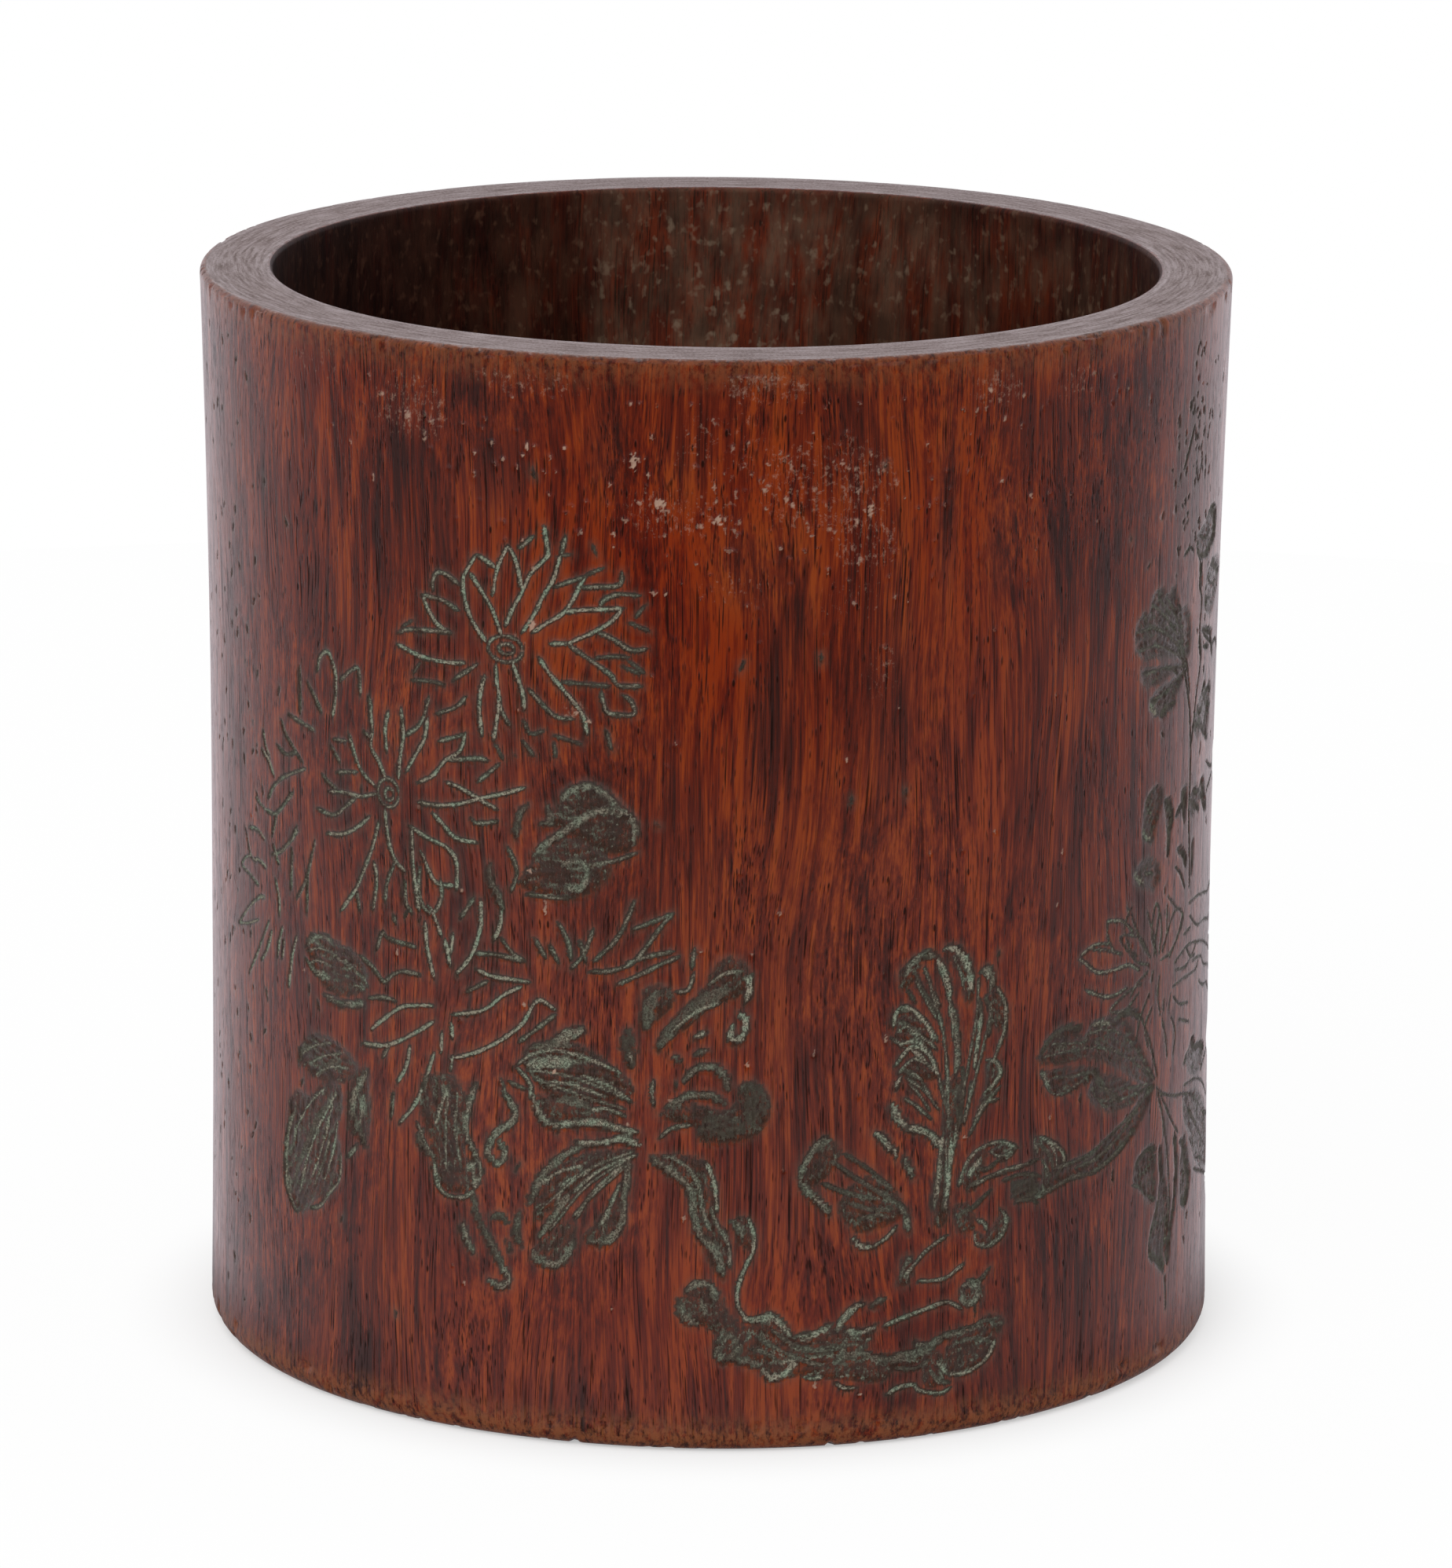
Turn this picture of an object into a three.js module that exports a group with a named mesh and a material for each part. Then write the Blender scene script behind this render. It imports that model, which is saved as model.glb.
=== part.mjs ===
import * as THREE from 'three';

// A brush pot worked from one section of a hardwood trunk, in millimetres, +Z up. The origin is the centre
// of the foot. The wall is a thick hollowed cylinder, drawn in a little at the waist. A base board cut
// across the same trunk is let into a rebate at its foot, and a tapered plug fills the board's heart hole.

// Outside of the wall
const HEIGHT = 178.5;
const RIM_DIAMETER = 170.2;
const WAIST_DIAMETER = 167;
const FOOT_DIAMETER = 168.3;
const WAIST_HEIGHT = 75;

// Thickness of the wall at the waist, and its rounded edges
const WALL_THICKNESS = 10.6;
const RIM_OUTER_ROUNDING = 1.2;
const RIM_INNER_ROUNDING = 1;
const FOOT_EDGE_WIDTH = 2.9;
const FOOT_EDGE_RISE = 3.4;

// Base board, and the rebate that it sits in
const BOARD_THICKNESS = 9;
const BOARD_BEVEL = 0.8;
const REBATE_WIDTH = 2.8;
const FOOT_RECESS = 2.2;

// Plug, driven down from inside the pot: wider at its top, and proud of the board
const PLUG_DIAMETER = 32;
const PLUG_TAPER = 1.2;
const PLUG_BEVEL = 0.5;
const PLUG_PROUD = 0.6;

// Clearance round the board's edge and between the plug and its hole
const JOINT_CLEARANCE = 0.3;

// Smoothness of the turned shapes
const SIDES = 96;
const BODY_STEPS = 12;
const EDGE_STEPS = 4;

const waistRadius = WAIST_DIAMETER / 2;
const boreRadius = waistRadius - WALL_THICKNESS;
const rebateRadius = boreRadius + REBATE_WIDTH;
const boardRadius = rebateRadius - JOINT_CLEARANCE;
const boardBottom = FOOT_RECESS;
const boardTop = boardBottom + BOARD_THICKNESS;
const plugTopRadius = PLUG_DIAMETER / 2;
const plugBottomRadius = plugTopRadius - PLUG_TAPER;

// Radius of the outside at a height: two parabolas that meet at the waist
function outerRadius(height) {
  const below = height < WAIST_HEIGHT;
  const endRadius = (below ? FOOT_DIAMETER : RIM_DIAMETER) / 2;
  const span = below ? WAIST_HEIGHT : HEIGHT - WAIST_HEIGHT;
  const share = (height - WAIST_HEIGHT) / span;
  return waistRadius + (endRadius - waistRadius) * share ** 2;
}

// A quarter of an ellipse round (radius, height), turning from the start angle
function roundedEdge(radius, height, width, rise, start) {
  const points = [];
  for (let step = 0; step <= EDGE_STEPS; step += 1) {
    const angle = start + (step / EDGE_STEPS) * (Math.PI / 2);
    points.push(new THREE.Vector2(radius + width * Math.cos(angle), height + rise * Math.sin(angle)));
  }
  return points;
}

// Points up the outside, between the two rounded edges
function bodyPoints(low, high) {
  const points = [];
  for (let step = 1; step < BODY_STEPS; step += 1) {
    const height = low + ((high - low) * step) / BODY_STEPS;
    points.push(new THREE.Vector2(outerRadius(height), height));
  }
  return points;
}

// A solid turned about the Z axis from a profile of (radius, height) points
function turned(name, profile, material) {
  const geometry = new THREE.LatheGeometry(profile, SIDES);
  geometry.rotateX(Math.PI / 2);
  const mesh = new THREE.Mesh(geometry, material);
  mesh.name = name;
  return mesh;
}

// The wall: foot, outside, rim, well and the rebate below the well, as one closed profile
function makeWall() {
  const bodyTop = HEIGHT - RIM_OUTER_ROUNDING;
  const footEdge = outerRadius(FOOT_EDGE_RISE) - FOOT_EDGE_WIDTH;
  const rimEdge = outerRadius(bodyTop) - RIM_OUTER_ROUNDING;
  const innerEdge = boreRadius + RIM_INNER_ROUNDING;
  const profile = [
    new THREE.Vector2(rebateRadius, 0),
    ...roundedEdge(footEdge, FOOT_EDGE_RISE, FOOT_EDGE_WIDTH, FOOT_EDGE_RISE, -Math.PI / 2),
    ...bodyPoints(FOOT_EDGE_RISE, bodyTop),
    ...roundedEdge(rimEdge, bodyTop, RIM_OUTER_ROUNDING, RIM_OUTER_ROUNDING, 0),
    ...roundedEdge(innerEdge, HEIGHT - RIM_INNER_ROUNDING, RIM_INNER_ROUNDING, RIM_INNER_ROUNDING, Math.PI / 2),
    new THREE.Vector2(boreRadius, boardTop),
    new THREE.Vector2(rebateRadius, boardTop),
    new THREE.Vector2(rebateRadius, 0),
  ];
  const material = new THREE.MeshStandardMaterial({ color: 0x5c2c1c, roughness: 0.42, metalness: 0 });
  return turned('wall', profile, material);
}

// The base board: its top bears on the shoulder of the rebate, and its tapered hole takes the plug
function makeBaseBoard() {
  const holeBottom = plugBottomRadius + JOINT_CLEARANCE;
  const holeTop = plugTopRadius + JOINT_CLEARANCE;
  const profile = [
    new THREE.Vector2(holeBottom, boardBottom),
    new THREE.Vector2(boardRadius - BOARD_BEVEL, boardBottom),
    new THREE.Vector2(boardRadius, boardBottom + BOARD_BEVEL),
    new THREE.Vector2(boardRadius, boardTop),
    new THREE.Vector2(holeTop, boardTop),
    new THREE.Vector2(holeBottom, boardBottom),
  ];
  const material = new THREE.MeshStandardMaterial({ color: 0x4a281a, roughness: 0.6, metalness: 0 });
  return turned('base_board', profile, material);
}

// The plug: it follows the taper of the hole down to the underside of the board
function makeBasePlug() {
  const profile = [
    new THREE.Vector2(0, boardBottom),
    new THREE.Vector2(plugBottomRadius, boardBottom),
    new THREE.Vector2(plugTopRadius, boardTop),
    new THREE.Vector2(plugTopRadius - PLUG_BEVEL, boardTop + PLUG_PROUD),
    new THREE.Vector2(0, boardTop + PLUG_PROUD),
  ];
  const material = new THREE.MeshStandardMaterial({ color: 0x633a24, roughness: 0.55, metalness: 0 });
  return turned('base_plug', profile, material);
}

const brushPot = new THREE.Group();
brushPot.add(makeWall(), makeBaseBoard(), makeBasePlug());

export default brushPot;
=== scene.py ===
"""A hardwood brush pot: a turned wall carved with chrysanthemum sprays, over its own solids."""
import math

import bpy
import numpy as np
from mathutils import Matrix, Vector


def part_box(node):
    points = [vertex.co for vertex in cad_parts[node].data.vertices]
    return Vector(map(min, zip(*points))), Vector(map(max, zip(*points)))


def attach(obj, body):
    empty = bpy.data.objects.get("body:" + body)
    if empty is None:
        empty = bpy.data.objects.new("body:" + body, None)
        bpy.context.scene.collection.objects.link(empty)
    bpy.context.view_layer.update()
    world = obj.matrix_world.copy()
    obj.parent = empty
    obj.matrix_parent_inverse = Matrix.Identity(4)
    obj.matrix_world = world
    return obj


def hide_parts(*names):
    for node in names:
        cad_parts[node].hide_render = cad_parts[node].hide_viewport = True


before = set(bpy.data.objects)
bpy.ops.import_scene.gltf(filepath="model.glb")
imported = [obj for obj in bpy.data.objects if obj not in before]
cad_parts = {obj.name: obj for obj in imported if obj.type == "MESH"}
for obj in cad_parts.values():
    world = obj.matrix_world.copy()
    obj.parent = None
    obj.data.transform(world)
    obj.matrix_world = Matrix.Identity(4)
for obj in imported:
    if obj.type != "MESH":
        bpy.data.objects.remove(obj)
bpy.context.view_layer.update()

# The wall's section in millimetres, as in its turned solid
MM = 0.001
_, wall_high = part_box("wall")
_, board_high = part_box("base_board")
HEIGHT = wall_high.z / MM
WAIST_RADIUS = 83.5
RIM_RADIUS = 85.1
FOOT_RADIUS = 84.15
WAIST_HEIGHT = 75
WALL_THICKNESS = 10.6
RIM_OUTER_ROUNDING = 1.2
RIM_INNER_ROUNDING = 1
FOOT_EDGE_WIDTH = 2.9
FOOT_EDGE_RISE = 3.4
REBATE_WIDTH = 2.8
BOARD_TOP = board_high.z / MM
BORE_RADIUS = WAIST_RADIUS - WALL_THICKNESS
REBATE_RADIUS = BORE_RADIUS + REBATE_WIDTH

# The mesh of the wall is cut from a lattice: cells of one step where it is carved, up to sixteen elsewhere
CELL_SIZES = (2, 4, 8, 16)
BLOCK = CELL_SIZES[-1]
ROUND_BLOCKS = 112
COLUMNS = ROUND_BLOCKS * BLOCK
RIM_BLOCKS = 2
BORE_BLOCKS = 24
GIRTH = 2 * math.pi * WAIST_RADIUS
STEP = GIRTH / COLUMNS
SEED = 7

# Carving. Every stroke is a row of s, z pairs: s goes round the outside to the right of the front,
# measured at the waist, and z goes up, both in millimetres. Each kind of cut has half its width,
# its depth, and how much of its floor holds colour. Sunk kinds are outlines, so they have no width.
CUTS = {
    "line": (0.37, 0.44, 1.0),
    "fine": (0.31, 0.32, 0.95),
    "rib": (0.31, 0.34, 0.90),
    "thin": (0.26, 0.20, 0.85),
    "broad": (0.62, 0.54, 0.88),
    "wide": (1.08, 0.60, 0.80),
    "hollow": (0, 0.36, 0.44),
    "pit": (0, 0.50, 0.74),
    "nick": (0.26, 0.34, 0.75),
}
SUNK_KINDS = ("hollow", "pit")
GROOVE_KINDS = ("line", "fine", "rib", "thin", "nick")

# Each group holds a kind of cut, how pale its colour is, and its strokes.
FLOWER_UPPER = [
    ("line", 1.0, [
        (-36.7, 131.2, -38.5, 133.3, -39.8, 135.4, -40.6, 138, -40.9, 141.1, -39.8, 143.2, -38.5, 145.3),
        (-38.5, 145.3, -36.5, 144.3, -35.2, 143.5),
        (-34.1, 132.5, -35.7, 136.5, -37.5, 139.3, -39.6, 142.2),
        (-35.7, 138.8, -34.9, 143.2, -33, 147.3),
        (-33, 147.3, -32, 145.6, -31.2, 143.2, -30.7, 140.4),
        (-33.5, 134.1, -32.3, 137, -30.7, 139.8, -29.2, 143, -26.6, 145.8, -26.3, 146.9, -26.9, 151),
        (-30.7, 133.3, -28.6, 136.5, -27.1, 139.6, -25.5, 142.2, -24.7, 144.8, -24.2, 146.4),
        (-28.9, 133.6, -26.6, 135.2, -23.7, 137.2, -22.1, 139.6, -21.1, 141.7, -20.1, 143.5),
        (-14.2, 138.4, -16.1, 136.2, -18.8, 134.4, -21.4, 133.1, -23.2, 132.3, -26, 132),
        (-23.7, 137.2, -20.8, 137.8, -14.2, 138.4),
        (-27.9, 129.7, -26, 127.1, -24, 125, -22.4, 123.2, -20.6, 120.8, -19.8, 117.7),
        (-35.2, 127.9, -35, 125, -34.6, 122.4, -34.9, 119.8, -35.6, 115.4),
        (-37.1, 126, -37.9, 122.9, -38.1, 119.8, -37.6, 115.9),
        (-32.3, 128.4, -31.2, 125.5, -30.5, 123.4, -30.3, 120.8),
        (-40.6, 127.5, -43.8, 127.2, -48.7, 127.5, -53.6, 128.9),
        (-43, 132, -45.6, 133.1, -47.4, 135.4, -48.5, 137.6),
    ]),
    ("line", 0.55, [
        (-31.2, 146.9, -28.6, 149.2),
        (-24.2, 146.4, -23.4, 149.5),
        (-20.1, 143.5, -17.2, 144.8),
        (-25.5, 141.1, -22.9, 142.2, -20, 143.2),
        (-21.1, 141.4, -18.2, 141.7, -14.8, 142.2, -14.3, 144.3),
        (-18, 138.3, -17.2, 139.6, -15.1, 140.6, -11.5, 140.6),
        (-18.2, 134.4, -15.6, 133.3, -13, 131.8, -10.4, 132),
        (-23.2, 132.3, -20.8, 130.7, -18.8, 129.4, -16.1, 127.6, -14.8, 126, -11.2, 126),
        (-17.7, 125, -17.2, 122.9, -16.4, 121.4, -12.5, 121.4, -12.8, 123.4, -14.3, 124.5),
        (-29.7, 124.5, -27.6, 122.4, -25, 120.3, -21.9, 120.1),
        (-34.6, 121.9, -33.9, 119.8, -32.6, 118),
        (-40.4, 122.1, -42.4, 120.1, -46.1, 118.5),
        (-38.3, 127.6, -40.9, 125.8, -42.7, 124.5),
        (-53.6, 130.7, -50.5, 131.7, -43, 132.2),
        (-48.5, 137.6, -44.8, 137.2, -41.7, 135.9),
        (-46.4, 138.3, -46.5, 140.1, -45.6, 141.6, -43.8, 141.4, -41.7, 140.1),
    ]),
    ("fine", 0.4, [
        (-24.2, 146.4, -22.4, 146.6),
        (-10.7, 139.1, -12.2, 137),
        (-13.3, 136.2, -9.9, 134.9),
        (-13.5, 130.2, -10.7, 128.1),
        (-24, 126, -16.1, 125.8),
        (-25.3, 117.2, -20.8, 116.1),
        (-44.3, 123.4, -46.9, 123.7, -50.8, 123.4),
        (-52.6, 131.8, -50.3, 133.3),
        (-35.4, 115.1, -33.9, 112.5),
        (-30.7, 116.1, -28.6, 113.5),
        (-25.3, 116.1, -25, 113.5),
        (-19, 148.4, -18.5, 146.9),
        (-18.8, 130.1, -16, 130.6, -13.2, 130.6),
        (-14, 129, -11.5, 128),
        (-16.8, 118.5, -15.9, 115.5),
        (-50.5, 124.5, -49, 126.5),
        (-30.5, 119.5, -29.3, 117.2, -27, 117.8),
    ]),
]

FLOWER_MIDDLE = [
    ("line", 0.8, [
        (-58.3, 104.7, -61.5, 106.8, -63.3, 109.9, -64.3, 112.5),
        (-56.3, 106.3, -57.6, 108.9, -59.4, 111.2, -59.1, 114.1, -59.6, 117.7),
        (-56, 110.7, -56.3, 114.6, -55.5, 117.7),
        (-53.6, 106.8, -53.4, 109.4, -52.6, 114.1, -53, 118.5),
        (-52.1, 108.1, -50, 111.5, -48.4, 114.1, -47.7, 117.7),
        (-49.7, 106.8, -46.9, 108.3, -44.3, 111.2, -41.7, 113, -40.6, 116.1),
        (-44.3, 107.6, -41.7, 107, -38.5, 105.7, -34.9, 104.2),
        (-49.7, 103.6, -45.8, 103.6, -41.7, 104.4, -38, 105.7, -34.4, 106.8, -30.2, 108.3),
        (-46.9, 102.3, -44.8, 100.5, -42.4, 98.7, -38.5, 98.4),
        (-51.6, 99.5, -48.4, 98.2, -44.3, 96.9, -42.4, 94.8, -42.3, 90.1),
        (-51, 99, -50.8, 94.8, -50.3, 89.8, -49.5, 85.6),
        (-49.2, 95.6, -46.4, 91, -42.7, 90.8),
        (-56.5, 101.6, -55.7, 96.4, -54.2, 93.2, -52.1, 91.7),
        (-57.8, 99, -59.1, 94.8, -61.2, 90.3, -62.8, 87.2, -66.4, 82.8),
        (-58.9, 92.4, -58.2, 89.3, -59.1, 84.1),
        (-58.3, 103.6, -62, 102.6, -65.6, 102.6, -69.3, 102.1),
        (-59.6, 99.7, -62.5, 97.4, -66.1, 95.6, -69.8, 95.1),
        (-71.9, 121.4, -71.1, 124, -69, 125, -67.4, 121.9, -67.4, 118.2, -68.2, 114.6),
    ]),
    ("line", 0.55, [
        (-60.9, 113.5, -59.4, 112.5),
        (-52.1, 114.1, -49, 116.7, -47.4, 121.1),
        (-45.6, 114.1, -40.6, 115.9),
        (-44.3, 111.2, -38.5, 112.2, -36.5, 112),
        (-38.5, 108.3, -34.6, 111.7),
        (-39.8, 102.3, -38.5, 101.6, -34.9, 102.3),
        (-54.4, 93, -56, 89.3, -56.5, 86.1),
        (-62.8, 87.2, -62, 83.8),
        (-52.3, 90.3, -52.1, 86.7, -50.8, 85.1),
        (-54.7, 84.3, -54.2, 82.8),
        (-62.5, 102.6, -65.6, 100, -68.2, 98.4, -72.4, 98.7),
        (-71.1, 104.7, -69.3, 103.6, -67.2, 102.9),
        (-68.8, 109.9, -66.4, 107.3),
        (-67.2, 105.7, -62.5, 106.5),
        (-74.7, 119.3, -72.4, 116.7, -70.8, 114.6),
        (-66.4, 120.8, -63.8, 122.9, -62, 123.4, -61.6, 119.3),
        (-68.2, 110.9, -64.6, 111.2),
        (-76.7, 121.4, -76.7, 113.5),
        (-80.1, 112.8, -72.8, 111.5),
        (-82.4, 111.5, -81.1, 109.4, -76.4, 105.7),
        (-86.9, 97.4, -84.8, 100, -81.6, 102.1, -75.4, 104.7),
        (-87.4, 95.1, -84, 95.6, -79, 100),
        (-84, 95.6, -85.6, 91.4),
        (-77.7, 94.8, -79.6, 91.7),
        (-72.8, 93.4, -74.9, 87.2, -76.4, 84.6, -78, 82.5),
        (-77.5, 94, -82.2, 89.8, -85.8, 88.2),
        (-79.3, 90.8, -79.6, 83.5),
        (-74.9, 87.2, -75.1, 80.4),
        (-49.3, 93, -49.6, 89.5, -48.6, 86.4, -46.6, 86, -45.2, 88.6, -45.4, 91.6),
        (-59.8, 119.5, -59.2, 117),
    ]),
    ("fine", 0.35, [
        (-84, 107, -81, 106, -78, 106.7, -76, 105.5),
    ]),
]

PETALS_FAR_LEFT = [
    ("fine", 0.85, [
        (-95.7, 90.3, -94.5, 87.6, -93.4, 86.1, -91, 85.8),
        (-98.1, 83.8, -95.7, 85.6, -93.2, 86.4),
        (-98.1, 83.8, -94, 83, -90.5, 82),
        (-99.4, 73.6, -94.7, 77.3, -91.5, 79.4),
        (-99.4, 73.6, -95, 74.6, -90.5, 76.2),
        (-94.7, 66.1, -91.5, 70, -89.4, 73, -86.6, 77),
        (-88, 65.4, -87.3, 63.4),
        (-91.6, 96.6, -88.4, 95.4, -85.6, 95.4),
    ]),
    ("line", 1.0, [
        (-94.2, 91, -91, 91.2, -88, 90.2),
        (-92, 86.2, -90, 86.2, -87.7, 85.6),
        (-91.8, 79.2, -90, 80.2, -88.2, 80.5),
        (-89.6, 69.6, -87.6, 71.8, -85.8, 75.4),
        (-83.9, 71.3, -83.4, 74, -82.2, 77),
        (-82.4, 71.5, -81.8, 75),
        (-80.4, 67.2, -79.2, 73.1, -77.9, 76.3),
        (-89.2, 105.2, -86.6, 103.6, -84.8, 101.4),
        (-88.6, 108.6, -87.6, 105.8, -86.2, 104.2),
        (-85.2, 90, -84.2, 88.2, -83.2, 87),
        (-84.6, 84.6, -83.4, 81.4, -83.2, 78.6),
    ]),
]

FLOWER_LOWER = [
    ("line", 1.0, [
        (-46.6, 74.9, -47.9, 79.9, -48.4, 84.1),
        (-45.1, 82, -46.9, 85.9, -47.9, 86.9),
        (-43.5, 79.4, -43, 83),
        (-44.5, 81.7, -43.5, 77.3),
        (-42.3, 76.4, -39.6, 79.9, -38, 84.6, -37.9, 89.3),
        (-34.1, 88.8, -34.6, 85.1, -35.6, 82.8),
        (-38.8, 77.6, -35.9, 76.8, -29.2, 76.5),
        (-43.2, 69.5, -39.6, 70.3, -37, 71.3, -33.9, 73.9, -30.7, 75.7),
        (-42.7, 62.4, -38.5, 64, -34.4, 66.4, -30.7, 69.5, -28.6, 73.1, -27.1, 73.6, -25, 72.3),
        (-46.6, 70.5, -50, 70, -53.1, 69.2, -56.8, 66.6, -59.6, 64.3),
        (-46.6, 67.9, -50, 65.6, -53.6, 63.5, -56.8, 62.2, -61.5, 61.7),
        (-51.3, 63.2, -52.1, 59.6, -53.9, 56.5),
        (-46.6, 62.7, -48.4, 57.5, -50.5, 53.3, -53.6, 49.7),
        (-45.1, 66.4, -45.3, 62.7),
        (-43.3, 68.2, -43.1, 65.3),
        (-43.1, 62.7, -43.5, 60.1),
    ]),
    ("line", 0.5, [
        (-41.7, 85.6, -39.1, 89.3),
        (-40.6, 73.6, -36.5, 76),
        (-31.3, 66.4, -28.1, 69, -25, 71.6),
        (-55.5, 62.7, -57, 60.1),
        (-54.7, 54.9, -55.2, 50.2),
        (-49.2, 75.2, -52.6, 75.2, -54.7, 74.4, -56.8, 72.9, -58.9, 74.7, -62, 76.3),
        (-58.3, 77.8, -57, 80.9, -55.7, 80.2, -50, 79.6),
        (-22.4, 80.7, -22.9, 83.5, -24.5, 86.7),
        (-22.4, 79.4, -20.3, 82, -18.8, 86.1),
        (-18.8, 80.7, -15.1, 84.6, -13, 88.8, -12.2, 91.1),
        (-19.3, 79.1, -16.1, 79.4, -12.5, 80.9, -9.9, 84.1, -7.8, 87.2, -6, 89.3),
        (-12.5, 86.4, -9.4, 87.7, -6, 89.2),
        (-14.8, 77.3, -11.5, 78.9, -7.8, 80.9, -5, 82.2),
        (-28.6, 83.8, -26.6, 80.7),
        (-34.4, 83.3, -32.3, 80.9, -30.2, 79.9),
        (-60, 69.5, -57, 70.2, -54, 70),
        (-13.5, 80.8, -9.5, 82.2, -6, 83),
        (-30, 91, -26, 90.8, -22.5, 91),
        (-26, 83, -24.5, 80),
        (-21, 84, -20, 80.5),
        (-39, 80.2, -35, 80.4, -30.6, 79.8),
        (-33, 59.8, -31.4, 59.2, -30, 58.8),
        (-2.6, 83.6, -3, 80.2),
    ]),
]

LEAF_TOP = [
    ("hollow", 0.3, [
        (-26.5, 103.4, -23.8, 107, -19.8, 109.6, -16.2, 108.6, -13, 105, -12.2, 100, -15.2, 98.6, -19.5,
         99.6),
        (-31.8, 92.5, -28.3, 97.2, -23, 100.6, -17.5, 99, -16, 95.8, -20, 91.6, -26, 90.8),
    ]),
    ("broad", 0.44, [
        (-24.2, 106.8, -22.4, 108.6, -19.8, 109.4, -17.2, 108.3, -15.1, 106.3),
        (-28.6, 97.4, -26.6, 99.5, -23.4, 101.8, -20.3, 104.2, -17.2, 105.5, -13.5, 105.2, -12.2, 103.1,
         -12.5, 100),
        (-24.2, 96.4, -21.4, 96.9, -19.8, 95.3, -20.8, 92.7, -24, 92.4),
    ]),
    ("broad", 0.33, [
        (-31.8, 100, -31.3, 103.6, -29.7, 105.5),
        (-26.3, 105.7, -26, 103.1, -27.6, 102.6),
        (-36.5, 95.3, -36.2, 92.2, -35.4, 91.1, -34, 88),
    ]),
    ("line", 0.45, [
        (-19.8, 96.4, -15.6, 97.4, -11.7, 99),
        (-33.2, 98.4, -31.6, 94.6, -32.6, 91),
    ]),
]

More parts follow.
